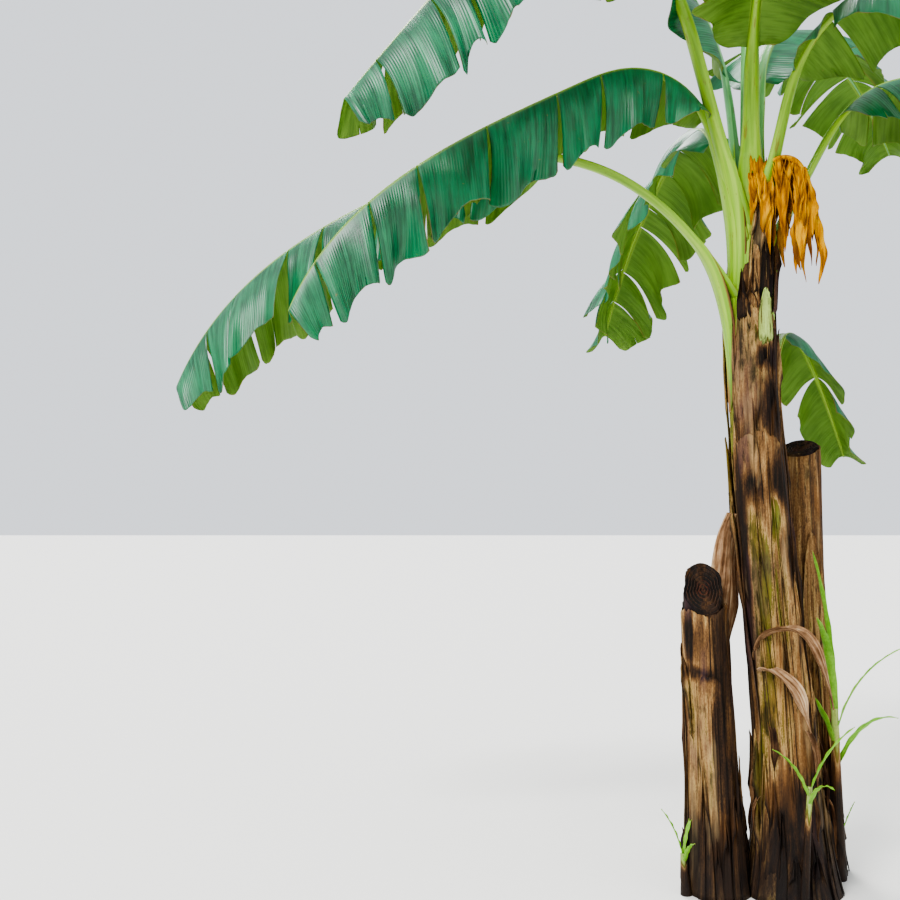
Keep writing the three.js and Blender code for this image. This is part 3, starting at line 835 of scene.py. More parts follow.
# %% Old sheaths on the main stem
Sheath = namedtuple("Sheath", "heading spread foot top tone peel narrow")
SHEATH_GAP = 0.0018
SHEATH_WALL = 0.002
SHEATH_FOOT = 0.0015
FOOT_TAPER = 0.22
FOOT_WIDTH = 0.4
FOOT_SINK = 0.008
TORN_TOP = 0.07
TORN_FOOT = 0.08
TEAR_RATES = (5, 11, 23, 47)
SHEATH_DRIFT = 5
DENT_SHARE = 0.6
TOP_GAP = 0.004
TONE_PATCH_HOLD = 0.85
SWELL_HEIGHT = 0.45
LAYERS = 5.0
FEWEST_ROWS = 16
FEWEST_COLUMNS = 8

MAIN_SHEATHS = [
    Sheath(60, 80, 0.0, 1.95, 0.36, 0.01, 0.3),
    Sheath(330, 66, 0.0, 2.06, 0.26, 0.008, 0.4),
    Sheath(245, 60, 0.9, 2.3, 0.32, 0.004, 0.5),
    Sheath(318, 26, 1.6, 2.12, 0.4, 0.006, 0.3),
    Sheath(120, 62, 0.0, 1.72, 0.44, 0.012, 0.4),
    Sheath(282, 40, 1.2, 1.94, 0.4, 0.007, 0.5),
    Sheath(20, 60, 0.0, 1.52, 0.3, 0.012, 0.5),
    Sheath(258, 50, 0.0, 1.675, 0.5, 0.009, 0.05),
    Sheath(170, 44, 0.0, 1.46, 0.4, 0.012, 0.5),
    Sheath(80, 46, 0.0, 1.1, 0.5, 0.016, 0.5),
]


def sheath_rule(stem, sheath, layer, draw, stains_and_shade, swell):
    tears = [(rate, next(draw) * math.pi, drawn(draw, 0.5, 0.5)) for rate in TEAR_RATES]
    drift = SHEATH_DRIFT * next(draw)

    def rule(x, y):
        side = 2 * x - 1
        torn = sum(size * np.sin(rate * side + shift) / rate**0.8 for rate, shift, size in tears)
        tall = sheath.top - sheath.foot
        ragged = sheath.top - TORN_TOP * np.abs(torn)
        ragged = ragged - 0.5 * sheath.narrow * tall * np.abs(side) ** 2.5
        rising = smooth(y / FOOT_TAPER) if sheath.foot else 1 + 0 * y
        foot = SHEATH_FOOT + sheath.foot + (TORN_FOOT * np.abs(torn) if sheath.foot else 0)
        around = side * sheath.spread * (1 - sheath.narrow * y**4) * mix(FOOT_WIDTH, 1, rising)
        angle = np.radians(sheath.heading + drift * y + around)
        top = np.minimum(ragged, stem.top(angle) - TOP_GAP)
        z = mix(foot, top, y)
        ripple = 0.0017 * np.sin(17 * side + 7 * z) + 0.0011 * np.sin(37 * side - 5 * z)
        loose = sheath.peel * (y**9 + 0.6 * np.abs(side) ** 6 * (0.25 + 0.75 * y))
        lift = SHEATH_GAP * (1 + layer) + loose + ripple * np.clip(y * 3, 0, 1)
        lift = mix(-FOOT_SINK, lift, rising)
        lift = lift + swell * smooth((z - NECK_HEIGHT) / SWELL_HEIGHT)
        tone = sheath.tone + 0 * z
        if stains_and_shade:
            tone = mix(tone, stained_and_shaded(stains_and_shade, angle, z, tone), TONE_PATCH_HOLD)
        reach = stem.radius(angle, z) + DENT_SHARE * dented(angle, z) + lift
        return stem.point(angle, z, reach), (side, z, tone)

    return rule


def wrap(name, stem, sheaths, seed, stains_and_shade, swell=0.0, first=1.0, rows=42, columns=0.5):
    """Sheaths of one stem, as one piece. swell lifts their tops off the stem, rows is the number
    of rows for each metre, and columns the number of columns for each degree of spread."""
    bm = bmesh.new()
    draw = stream(seed)
    for place, sheath in enumerate(sheaths):
        layer = first + LAYERS * place / len(sheaths)
        tall = max(FEWEST_ROWS, int(rows * (sheath.top - sheath.foot)))
        wide = max(FEWEST_COLUMNS, int(columns * sheath.spread))
        patch(bm, wide, tall, sheath_rule(stem, sheath, layer, draw, stains_and_shade, swell))
    dress(name, bm, [bark], wall=SHEATH_WALL)


wrap("main_stem_sheaths", main_stem, MAIN_SHEATHS, 3, STAINS_AND_SHADE)

# %% [markdown]
# Most of what is left of older sheaths is narrow: long fibrous strips that end in a ragged point,
# some dark, some tan, with shadows between them. Nobody could place them all by hand, so a loop
# deals them out: each turns on by the golden angle, which never lines two of them up, and its
# size and age are drawn.

# %% Narrow strips of old sheath
GOLDEN_ANGLE = 137.5
STRIP_LENGTH = 0.75
STRIP_LENGTH_SPREAD = 0.45
STRIP_NARROWING = 0.7
MOSTLY_LOW = 1.3


def narrow_strips(count, lowest, highest, seed):
    draw = stream(seed)
    strips = []
    for k in range(count):
        top = mix(lowest, highest, drawn(draw, 0.5, 0.5) ** MOSTLY_LOW)
        foot = max(0.0, top - STRIP_LENGTH - STRIP_LENGTH_SPREAD * next(draw))
        spread = drawn(draw, 8, 5)
        tone = drawn(draw, 0.38, 0.3)
        peel = drawn(draw, 0.01, 0.007)
        strips.append(Sheath(GOLDEN_ANGLE * k, spread, foot, top, tone, peel, STRIP_NARROWING))
    return strips


STEM_STRIPS = narrow_strips(44, 0.5, 2.15, 77) + narrow_strips(24, 0.16, 0.5, 78)
wrap("main_stem_strips", main_stem, STEM_STRIPS, 9, STAINS_AND_SHADE, first=2.5, rows=36)

# %% [markdown]
# Round the neck hang the remains of leaves that have dropped. Most are dark brown or nearly
# black, one is still pale green, and they lie over the living stalks' feet.

# %% Dead sheaths round the neck
NECK_SHEATHS = [
    Sheath(70, 50, 1.8, 2.5, 0.2, 0.01, 0.6),
    Sheath(304, 46, 2.16, 2.6, 0.12, 0.01, 0.5),
    Sheath(20, 28, 1.9, 2.45, 0.34, 0.01, 0.6),
    Sheath(274, 22, 2.18, 2.56, 0.5, 0.012, 0.7),
    Sheath(120, 30, 1.7, 2.36, 0.42, 0.01, 0.6),
    Sheath(336, 18, 2.08, 2.42, 0.36, 0.012, 0.7),
    Sheath(264, 15, 2.0, 2.4, 0.56, 0.01, 0.8),
    Sheath(296, 14, 2.12, 2.5, 0.05, 0.014, 0.8),
    Sheath(288, 17, 1.97, 2.2, 0.98, 0.008, 0.4),
    Sheath(281, 8, 2.18, 2.5, 0.56, 0.012, 0.8),
    Sheath(242, 14, 2.06, 2.27, 0.14, 0.014, 0.8),
    Sheath(302, 7, 2.2, 2.56, 0.4, 0.016, 0.8),
    Sheath(90, 12, 1.9, 2.42, 0.1, 0.014, 0.8),
    Sheath(276, 20, 2.1, 2.52, 0.1, 0.012, 0.4),
    Sheath(262, 10, 2.14, 2.36, 0.5, 0.01, 0.4),
    Sheath(258, 12, 2.1, 2.24, 0.4, 0.014, 0.8),
]
NECK_SWELL = 0.036
wrap("neck_sheaths", main_stem, NECK_SHEATHS, 15, [], NECK_SWELL, 5.0, 70, 0.8)

# %% [markdown]
# The cut stems have fewer sheaths. At the front one the outer sheaths have shrunk, and the dark
# core stands out above them.

# %% Old sheaths on the cut stems
CUT_SHEATHS = {
    "front": [
        Sheath(80, 80, 0.0, 1.06, 0.4, 0.006, 0.05),
        Sheath(330, 70, 0.0, 1.05, 0.34, 0.006, 0.05),
        Sheath(215, 62, 0.0, 1.03, 0.56, 0.006, 0.05),
        Sheath(262, 30, 0.0, 0.8, 0.5, 0.009, 0.1),
        Sheath(150, 44, 0.0, 0.9, 0.38, 0.01, 0.3),
    ],
    "back": [
        Sheath(90, 80, 0.0, 1.7, 0.4, 0.004, 0.05),
        Sheath(340, 70, 0.0, 1.66, 0.36, 0.004, 0.05),
        Sheath(220, 66, 0.0, 1.64, 0.48, 0.006, 0.05),
        Sheath(280, 50, 0.0, 1.3, 0.56, 0.012, 0.4),
        Sheath(150, 46, 0.0, 1.1, 0.34, 0.012, 0.4),
    ],
}

for seed, (name, stem) in enumerate(CUT_STEMS.items()):
    sheaths = CUT_SHEATHS[name] + narrow_strips(22, 0.2, 0.85 * stem.height, 131 + seed)
    stains_and_shade = CUT_STAINS_AND_SHADE if name == "front" else []
    wrap(f"cut_stem_{name}_sheaths", stem, sheaths, 31 + seed, stains_and_shade)

# %% [markdown]
# Now the leaves, by the rule of the solids. Each leaf leaves the stem at a height, climbs at its
# rise, bends over between two places and then sags from crest to tip. Each half of its blade
# curves down along an arc: open is its angle at the midrib, and hang that at the margin.

# %% The leaves
Leaf = namedtuple(
    "Leaf",
    "name heading leaves rise bends crest tip petiole blade sag veer width open hang roll"
    " tears split seed",
)
LEAVES = [
    Leaf("low_left", 175, 2.165, 58, (0, 1.6), -24, -70, 0.94, 1.84, 1.5, -6, 0.32, 34, 92, 8, 8, 3, 11),
    Leaf("low_back", 46, 1.935, 36, (0.12, 0.5), -46, -62, 0.2, 0.8, 1.2, -4, 0.165, 20, 84, 0, 2, 1, 23),
    Leaf("long_left", 190, 2.38, 75, (0.3, 1.05), -27, -72, 0.48, 2.01, 2.2, 8, 0.31, 36, 96, 14, 8, 2, 35),
    Leaf("right", 0, 2.3, 62, (0.44, 1.24), -20, -62, 0.64, 1.8, 1.2, 8, 0.34, 26, 88, -6, 8, 3, 47),
    Leaf("back", 98, 2.34, 62, (0.41, 1.17), -22, -54, 0.6, 1.75, 1.2, 4, 0.33, 26, 88, 6, 8, 3, 59),
    Leaf("high_left", 204, 2.43, 72, (0.62, 1.92), -50, -54, 0.94, 1.7, 1, -2, 0.33, 26, 86, 4, 8, 3, 61),
    Leaf("front", 266, 2.45, 85, (0.4, 1.35), 6, -40, 0.64, 1.7, 1.2, 12, 0.32, 18, 76, 0, 7, 3, 73),
    Leaf("front_right", 320, 2.4, 76, (0.4, 1.25), -10, -54, 0.6, 1.75, 1.2, 8, 0.33, 22, 82, 0, 7, 3, 79),
    Leaf("back_right", 54, 2.46, 80, (0.36, 1.26), 8, -46, 0.58, 1.8, 1.2, -10, 0.32, 14, 70, 0, 7, 3, 85),
    Leaf("upright", 150, 2.5, 85, (0.25, 1.35), 44, -20, 0.52, 1.75, 1.2, 8, 0.3, -6, 44, 0, 5, 3, 97),
]
PETIOLE_SEAT = 0.5


def leaf_spine(leaf):
    start_bend, end_bend = leaf.bends
    length = leaf.petiole + leaf.blade

    def slope(s):
        bent = mix(leaf.rise, leaf.crest, smooth((s - start_bend) / (end_bend - start_bend)))
        sagging = np.clip((s - end_bend) / (length - end_bend), 0, 1) ** leaf.sag
        return bent + (leaf.tip - leaf.crest) * sagging

    level = np.array(leaf.leaves)
    seat = polar(leaf.heading) * PETIOLE_SEAT * main_stem.plain_radius(level)
    return Spine(main_stem.axis(level) + seat, leaf.heading, leaf.veer, length, slope)


SPINES = {leaf.name: leaf_spine(leaf) for leaf in LEAVES}
for leaf in LEAVES:
    tip = SPINES[leaf.name].at(leaf.petiole + leaf.blade).point
    print(leaf.name, "tip at", [round(float(v), 2) for v in tip])

# %% [markdown]
# A stalk is a channel: round below, hollowed above, with a thin rim on each side. Past the first
# tear it goes on as the midrib, gets thinner and loses its hollow. One tube from the stem to the
# leaf's tip does both, so there is no joint where the blade begins.

# %% Stalks and midribs
SHEATH_HALF_WIDTH = 0.062
SHEATH_HALF_DEPTH = 0.03
SHEATH_LENGTH = 0.42
STALK_HALF_WIDTH = 0.035
STALK_HALF_DEPTH = 0.025
STALK_END_WIDTH = 0.8
STALK_HOLLOW = 0.85
MIDRIB_RADIUS = 0.022
MIDRIB_TIP_RADIUS = 0.0035
MIDRIB_FLATNESS = (0.85, 0.7)
MIDRIB_HOLLOW = 0.25
JOIN_LENGTH = 0.24
BLADE_END = 0.985
RIM_HEIGHT = 0.32
YOUTH = {"upright": 0.4, "back_right": 0.25}


def rib_section(leaf, s):
    """Half width, half depth and hollow of a rib at ways s along it."""
    narrow = smooth(s / SHEATH_LENGTH)
    share = np.clip(s / leaf.petiole, 0, 1)
    width = mix(SHEATH_HALF_WIDTH, STALK_HALF_WIDTH, narrow) * mix(1, STALK_END_WIDTH, share)
    depth = mix(SHEATH_HALF_DEPTH, STALK_HALF_DEPTH, narrow)
    t = np.clip((s - leaf.petiole) / leaf.blade, 0, 1)
    midrib = mix(MIDRIB_RADIUS, MIDRIB_TIP_RADIUS, t**0.8) * mix(*MIDRIB_FLATNESS, t)
    joined = smooth((s - leaf.petiole + JOIN_LENGTH / 2) / JOIN_LENGTH)
    hollow = mix(STALK_HOLLOW, MIDRIB_HOLLOW, joined)
    return mix(width, midrib, joined), mix(depth, midrib, joined), hollow


def rib_rule(leaf, spine):
    length = leaf.petiole + BLADE_END * leaf.blade

    def rule(angle, share):
        s = share * length
        width, depth, hollow = rib_section(leaf, s)
        height = np.sin(angle)
        over = np.where(height < 0, height, RIM_HEIGHT * height - hollow * height**3)
        age = 0.3 * smooth(1 - s / 0.3) + 0.14 * np.abs(np.cos(angle)) ** 12
        age = age - YOUTH.get(leaf.name, 0)
        return spine.at(s).off(np.cos(angle) * width, over * depth), (angle / np.pi, s, age)

    return rule


for leaf in LEAVES:
    bm = bmesh.new()
    tube(bm, sides=26, rings=110, rule=rib_rule(leaf, SPINES[leaf.name]))
    dress(f"stalk_{leaf.name}", bm, [stalk], [f"petiole_{leaf.name}"])

# %% [markdown]
# Where a stalk meets the stem it opens into its sheath, which clasps the stem. The sheath is one
# sheet that changes from one form to the other: at its low end its points lie on the stem, and at
# its high end on the underside of the stalk.

# %% Living sheaths
CLASP = 0.0035
CLASP_DROP = 0.42
CLASP_RISE = 0.1
CLASP_CURVE = 0.16
CLASP_TOP = 0.3
CLASP_SPREAD = (34, 52)
CLASP_TURN = 96
CLASP_WALL = 0.003


def clasp_rule(leaf, spine):
    def rule(x, y):
        across = 2 * x - 1
        z = leaf.leaves - CLASP_DROP * (1 - y) + CLASP_RISE * y + CLASP_CURVE * (1 - y) * across**2
        angle = np.radians(leaf.heading + across * mix(*CLASP_SPREAD, y))
        reach = main_stem.radius(angle, z) + CLASP + 0.0012 * np.sin(21 * across)
        s = y * CLASP_TOP
        width, depth = rib_section(leaf, s)[:2]
        turn = np.radians(CLASP_TURN * across)
        proud = mix(1.05, 0.86, smooth((y - 0.7) / 0.3))
        on_stalk = spine.at(s).off(np.sin(turn) * width * proud, -np.cos(turn) * depth * proud)
        share = column(smooth((y - 0.25) / 0.6))
        where = mix(main_stem.point(angle, z, reach), on_stalk, share)
        fading = smooth((y - 0.6) / 0.4)
        edge = mix(0.6 * np.abs(across) ** 5, 0.14 * np.abs(np.sin(turn)) ** 12, fading)
        age = 0.55 * smooth(1 - y / 0.7) + edge - YOUTH.get(leaf.name, 0)
        return where, (turn / np.pi - 0.5, s, age)

    return rule


bm = bmesh.new()
for leaf in LEAVES:
    patch(bm, columns=30, rows=54, rule=clasp_rule(leaf, SPINES[leaf.name]))
dress("living_sheaths", bm, [stalk], wall=CLASP_WALL)

# %% [markdown]
# A blade is torn to the midrib into panels, as in the solids. Wind doesn't tear it evenly, so each
# tear, but for those at the blade's ends and its bend, is drawn a little off its even place. Each
# panel then hangs on its own: it opens at the midrib, curls down to the margin, and twists.

# %% The rule of a blade
BASE_ROUNDING = 0.14
TIP_ROUNDING = 0.5
TIP_FULLNESS = 2.4
TEAR_AT_RIB = 0.004
TEAR_SHARE = 0.09
TEAR_SPREAD = 0.3
TEAR_SEED = 7907
VEIN_SWEEP = 0.14
GRAVITY_SWING = 0.85
STEEP = 76
STEEP_OPEN = 12
STEEP_CURL = 16
HANG_SPREAD = 14
PANEL_TWIST = 0.12
BLADE_SEAT = 0.8
Panel = namedtuple("Panel", "side start end hang twist")


def blade_outline(t):
    base = np.clip(t / BASE_ROUNDING, 0.01, 1) ** 0.5
    tip = 1 - np.clip((t - 1 + TIP_ROUNDING) / TIP_ROUNDING, 0, 1) ** TIP_FULLNESS
    return base * np.sqrt(tip)


def tear_places(leaf, draw):
    """Where the tears of one half of a blade are, as shares of its length."""
    whole = (0, leaf.split, leaf.tears)
    places = [k if k in whole else drawn(draw, k, TEAR_SPREAD) for k in range(leaf.tears + 1)]
    return [BLADE_END * place / leaf.tears for place in places]


def blade_panels(leaf):
    draw = stream(leaf.seed)
    tear_draw = stream(leaf.seed * TEAR_SEED)
    tears = {side: tear_places(leaf, tear_draw) for side in (1, -1)}
    return [
        Panel(side, tears[side][k], tears[side][k + 1], HANG_SPREAD * next(draw), next(draw))
        for k in range(leaf.tears)
        for side in (1, -1)
    ]


def panel_place(leaf, spine, panel, t, u):
    """A place on a panel, the way that its upper face looks, and the blade's width there."""
    span = panel.end - panel.start
    middle = (panel.start + panel.end) / 2
    torn = TEAR_AT_RIB / leaf.blade + TEAR_SHARE * u * span
    pinched = middle + (t - middle) * (1 - torn / span)
    s = leaf.petiole + pinched * leaf.blade
    rib = spine.at(s)
    width = leaf.width * blade_outline(pinched)
    level = np.clip((STEEP - np.degrees(rib.lift)) / STEEP, 0, 1)
    opening = np.radians(mix(STEEP_OPEN, leaf.open + panel.side * leaf.roll, level))
    curl = np.radians(mix(STEEP_CURL, leaf.hang + panel.hang - leaf.open, level))
    angle = opening + curl * u
    across = width * (np.sin(angle) - np.sin(opening)) / curl
    down = width * (np.cos(opening) - np.cos(angle)) / curl
    forward = VEIN_SWEEP * width * u - GRAVITY_SWING * np.sin(rib.lift) * down
    facing = rib.side * column(panel.side * np.sin(angle)) + rib.up * column(np.cos(angle))
    twist = PANEL_TWIST * panel.twist * width * u * (t - middle) / span
    across = across + BLADE_SEAT * rib_section(leaf, s)[0] * (1 - u)
    where = rib.off(panel.side * across, -down) + rib.along * column(forward)
    return where + facing * column(twist), facing, width


print("panels:", sum(len(blade_panels(leaf)) for leaf in LEAVES))

# %% [markdown]
# Most panels are torn again into two ribbons, some of the way in. A ribbon has the depth of the
# tear on each of its two sides: 0 is torn from the margin to the midrib, and 1 isn't torn at
# all. Where two ribbons aren't torn apart their points fall on the same places, so they can be
# merged afterwards, and where they are, each ribbon hangs and twists on its own. The lamina also
# falls in soft folds, like a curtain, deeper towards the margin.

# %% Ribbons
RIBBON_GAP = 0.03
FREE_SPAN = 0.5
TEAR_DEPTH = 0.72
DEPTH_SPREAD = 0.25
CUT_SPREAD = 0.5
WHOLE_PANELS = 0.1
FOLDS = [(0.3, 0.04), (0.16, 0.014), (0.07, 0.003)]
EDGE_CURL = 0.012
PANEL_CURL = 0.03
SCALLOP = 0.15
CORNER = 0.1
MARGIN_FLARE = 0.045
Ribbon = namedtuple("Ribbon", "start end depths hang twist shift")


def ribbons_of(leaf, panel, draw):
    count = 1 if next(draw) < WHOLE_PANELS else 2
    cuts = [panel.start + (panel.end - panel.start) * k / count for k in range(count + 1)]
    for k in range(1, count):
        cuts[k] += CUT_SPREAD * next(draw) * (panel.end - panel.start) / count
    inner = [drawn(draw, TEAR_DEPTH, DEPTH_SPREAD) for _ in range(count - 1)]
    depths = [0.0] + inner + [0.0]
    return [
        Ribbon(cuts[k], cuts[k + 1], (depths[k], depths[k + 1]), next(draw), next(draw), next(draw))
        for k in range(count)
    ]


def ribbon_rule(leaf, spine, panel, ribbon, shifts):
    def rule(x, y):
        loose = [smooth((y - depth) / FREE_SPAN) for depth in ribbon.depths]
        free = mix(*loose, x)
        middle = (ribbon.start + ribbon.end) / 2
        t = mix(ribbon.start, ribbon.end, x)
        t = t + (middle - t) * RIBBON_GAP * free
        corner = np.abs(2 * x - 1) ** 5
        across = 2 * (t - panel.start) / (panel.end - panel.start) - 1
        jagged = 0.003 * np.sin(19 * x + 7 * ribbon.shift) + 0.002 * np.sin(43 * x)
        scallop = SCALLOP * (1 + 0.6 * panel.twist) * (1 - across**2) * (1 - 0.5 * across)
        scallop = scallop + CORNER * (np.clip(-across, 0, 1) ** 4 + np.clip(across, 0, 1) ** 8)
        u = y * (1 - scallop * y**2 - free * (0.02 * corner + jagged))
        where, facing, width = panel_place(leaf, spine, panel, t, u)
        fold = sum(
            depth * np.sin(2 * np.pi * t * leaf.blade / length + shift)
            for (length, depth), shift in zip(FOLDS, shifts)
        )
        fold = fold * u**1.4 * np.clip(width / 0.3, 0, 1)
        swing = free * u * (0.08 * ribbon.hang * width + 0.04 * ribbon.twist * (x - 0.5))
        curl = EDGE_CURL * free * corner * u
        lifted = PANEL_CURL * u**1.5 * smooth((across * np.sign(panel.twist) - 0.3) / 0.7)
        lifted = lifted + MARGIN_FLARE * u**5 * (0.5 + 0.5 * np.sin(2.2 * across + 3 * panel.twist))
        where = where + facing * column(fold + swing - curl + lifted)
        frayed = free * smooth((np.abs(2 * x - 1) - 0.95) / 0.05)
        worn = np.maximum(smooth((y - 0.985) / 0.015), frayed)
        return where, (t * leaf.blade, u, worn)

    return rule


# %% [markdown]
# Each blade becomes one sheet of ribbons. Merging its doubles closes what isn't torn, and the
# wall gives it a thickness, with the deep green above and the pale green below.

# %% Blades
BLADE_WALL = 0.0014
COLUMN_SIZE = 0.0095
FEWEST_RIBBON_COLUMNS = 4
BLADE_ROWS = 34
RIBBON_SEED = 1000
SAME_PLACE = 0.00002


def blade_sheet(leaf):
    bm = bmesh.new()
    draw = stream(leaf.seed + RIBBON_SEED)
    spine = SPINES[leaf.name]
    for panel in blade_panels(leaf):
        shifts = [math.pi * next(draw) for _ in FOLDS]
        for ribbon in ribbons_of(leaf, panel, draw):
            columns = round((ribbon.end - ribbon.start) * leaf.blade / COLUMN_SIZE)
            columns = max(FEWEST_RIBBON_COLUMNS, columns)
            rule = ribbon_rule(leaf, spine, panel, ribbon, shifts)
            patch(bm, columns, BLADE_ROWS, rule, turned=panel.side < 0)
    bmesh.ops.remove_doubles(bm, verts=bm.verts, dist=SAME_PLACE)
    return bm


for leaf in LEAVES:
    solids = [f"blade_{leaf.name}_inner", f"blade_{leaf.name}_outer"]
    sheet = blade_sheet(leaf)
    dress(f"leaf_{leaf.name}", sheet, [leaf_above, leaf_below], solids, BLADE_WALL)

# %% [markdown]
# The youngest leaf is still rolled like a cigar. Its section is a spiral, so a seam winds up it.

# %% Rolled leaf
ROLLED_LENGTH = 1.48
ROLLED_RADII = (0.031, 0.007)
ROLLED_SLOPES = (90, 78)
ROLLED_HEADING = 70
ROLLED_YOUTH = 0.25
SEAM_STEP = 0.16


def rolled_slope(s):
    return mix(*ROLLED_SLOPES, s / ROLLED_LENGTH)


rolled_start = main_stem.axis(np.array(STEM_HEIGHT))
rolled_spine = Spine(rolled_start, ROLLED_HEADING, 0, ROLLED_LENGTH, rolled_slope)


def rolled_rule(angle, share):
    seam = (angle / (2 * np.pi) + 0.7 * share) % 1
    reach = mix(*ROLLED_RADII, share**1.4) * (1 - SEAM_STEP * seam)
    age = 0.2 * smooth((seam - 0.94) / 0.06) - ROLLED_YOUTH
    where = rolled_spine.at(share * ROLLED_LENGTH).off(np.cos(angle) * reach, np.sin(angle) * reach)
    return where, (angle / np.pi, share * ROLLED_LENGTH, age)


bm = bmesh.new()
tube(bm, sides=48, rings=160, rule=rolled_rule)
dress("rolled_leaf_spear", bm, [stalk], ["rolled_leaf"])

# %% [markdown]
# The withered leaf has folded over at its stalk, whose wrinkled tube is drawn on a spine of its
# own.

# %% Withered stalk
WITHERED_HEADING = 306
WITHERED_HEIGHT = 2.44
WITHERED_SEAT = 0.6
WITHERED_VEER = 60
WITHERED_LENGTH = 0.51
WITHERED_SLOPES = (80, -84)
WITHERED_HALF_WIDTHS = (0.021, 0.007)
WITHERED_HALF_DEPTHS = (0.014, 0.006)


def withered_slope(s):
    return mix(*WITHERED_SLOPES, smooth((s / WITHERED_LENGTH - 0.25) / 0.6))


level = np.array(WITHERED_HEIGHT)
reach = WITHERED_SEAT * main_stem.radius(np.radians(WITHERED_HEADING), level)
start = main_stem.axis(level) + polar(WITHERED_HEADING) * reach
withered_spine = Spine(start, WITHERED_HEADING, WITHERED_VEER, WITHERED_LENGTH, withered_slope)


def withered_rib_rule(angle, share):
    width = mix(*WITHERED_HALF_WIDTHS, share)
    depth = mix(*WITHERED_HALF_DEPTHS, share) * (1 + 0.2 * np.sin(3 * angle + 22 * share))
    rib = withered_spine.at(share * WITHERED_LENGTH)
    where = rib.off(np.cos(angle) * width, np.sin(angle) * depth)
    return where, (angle / np.pi, 0.3 * share, 0.5 + 0 * share)


print("withered stalk:", WITHERED_LENGTH, "m long")

# %% [markdown]
# Its dead blade hangs from it in many narrow, crinkled shreds, bright orange above and brown where
# they end. Each narrows to its tip, twists about its own line and swings out a little. More
# shreds hang from the dead leaf's own sheath, which clasps the neck like a collar.

# %% Withered leaf
SHREDS = 34
SHRED_LENGTH = 0.4
SHRED_PLACES = (0.44, 0.99)
SHRED_HEADING = 30
SHRED_FAN = 150
SHRED_HALF_WIDTH = 0.009
SHRED_WIDENING = 0.012
SHRED_SEED = 5
COLLAR_SHREDS = 9
COLLAR_LENGTH = 0.25
COLLAR_HEADINGS = (258, 318)
COLLAR_HEIGHTS = (2.6, 2.68)
COLLAR_HANG = 0.3
COLLAR_RADIUS = 0.083
SHRED_WALL = 0.0012


def shred_rule(point, out, length, draw):
    """A shred that hangs from a point and swings a little the way that out points."""
    across = np.array([-out[1], out[0], 0])
    length = length * drawn(draw, 0.72, 0.28)
    half = SHRED_HALF_WIDTH + SHRED_WIDENING * abs(next(draw))
    turn, shift, tone = next(draw), math.pi * next(draw), next(draw)

    def rule(x, y):
        leaf_form = (0.75 + 0.35 * np.sin(np.pi * np.clip(y, 0, 1)) ** 0.8) * (1 - y**4) + 0.06
        ragged = half * leaf_form * (1 + 0.12 * np.sin(23 * y + shift))
        side = 2 * x - 1
        wide = side * ragged * np.cos(1.3 * turn * y)
        swing = 0.15 * length * np.sin(1.9 * y) + 0.005 * np.sin(13 * y + shift) * y
        swing = swing + ragged * (side * np.sin(1.3 * turn * y) + 0.5 * side**2)
        sway = 0.007 * np.sin(5 * y + shift) * y
        where = point + across * column(wide + sway) + out * column(swing)
        where = where - UPRIGHT * column(length * y)
        return where, (side, y, 0.5 + 0.5 * tone + 0 * y)

    return rule


def collar_place(heading, height):
    return main_stem.axis(np.asarray(height)) + polar(heading) * COLLAR_RADIUS


def collar_rule(x, y):
    """The dead leaf's own sheath, which still clasps the neck."""
    heading = mix(*COLLAR_HEADINGS, x)
    ragged = 0.025 * np.sin(13 * x) * (1 - y) + 0.012 * np.sin(31 * x)
    where = collar_place(heading, mix(*COLLAR_HEIGHTS, y) + ragged)
    where = where + polar(heading) * column(0.006 * np.sin(17 * x) + 0.012 * (1 - y) - 0.01 * y)
    return where, (2 * x - 1, 0.45 * y, 0.3 + 0 * x)


bm = bmesh.new()
tube(bm, sides=16, rings=60, rule=withered_rib_rule)
draw = stream(SHRED_SEED)
for k in range(SHREDS):
    hung = withered_spine.at(WITHERED_LENGTH * mix(*SHRED_PLACES, k / (SHREDS - 1))).point
    out = polar(drawn(draw, WITHERED_HEADING + SHRED_HEADING, SHRED_FAN))
    patch(bm, columns=4, rows=30, rule=shred_rule(hung, out, SHRED_LENGTH, draw))
for k in range(COLLAR_SHREDS):
    heading = mix(*COLLAR_HEADINGS, (k + 0.5) / COLLAR_SHREDS)
    hung = collar_place(heading, mix(*COLLAR_HEIGHTS, COLLAR_HANG))
    patch(bm, columns=4, rows=30, rule=shred_rule(hung, polar(heading), COLLAR_LENGTH, draw))
patch(bm, columns=40, rows=8, rule=collar_rule)
dress("withered_leaf_shreds", bm, [withered], ["withered_leaf"], SHRED_WALL)

# %% [markdown]
# Dry sheaths and strips hang off the stem where they have come loose. Each is a curled sheet
# along a line of its own, which runs through its slopes, one after the other.

# %% Loose dry strips
Strip = namedtuple("Strip", "name seat at heading veer length width slopes tone")
STRIPS = [
    Strip("dry_sheath", 172, 1.37, 112, -10, 0.51, 0.124, (-70, -85, -86), 0.57),
    Strip("dry_strip_upper", 205, 0.84, 290, 60, 0.56, 0.048, (70, 14, -66, -80), 0.5),
    Strip("dry_strip_lower", 216, 0.8, 286, 50, 0.34, 0.06, (18, -20, -62, -72), 0.6),
]
DRY_SEAT = 0.001
STRIP_WALL = 0.002


def strip_spine(strip):
    def slope(s):
        place = np.clip(s / strip.length, 0, 0.999) * (len(strip.slopes) - 1)
        whole = np.floor(place).astype(int)
        slopes = np.array(strip.slopes)
        return mix(slopes[whole], slopes[whole + 1], smooth(place - whole))

    level = np.array(strip.at)
    seat = polar(strip.seat) * (main_stem.plain_radius(level) + DRY_SEAT)
    return Spine(main_stem.axis(level) + seat, strip.heading, strip.veer, strip.length, slope)


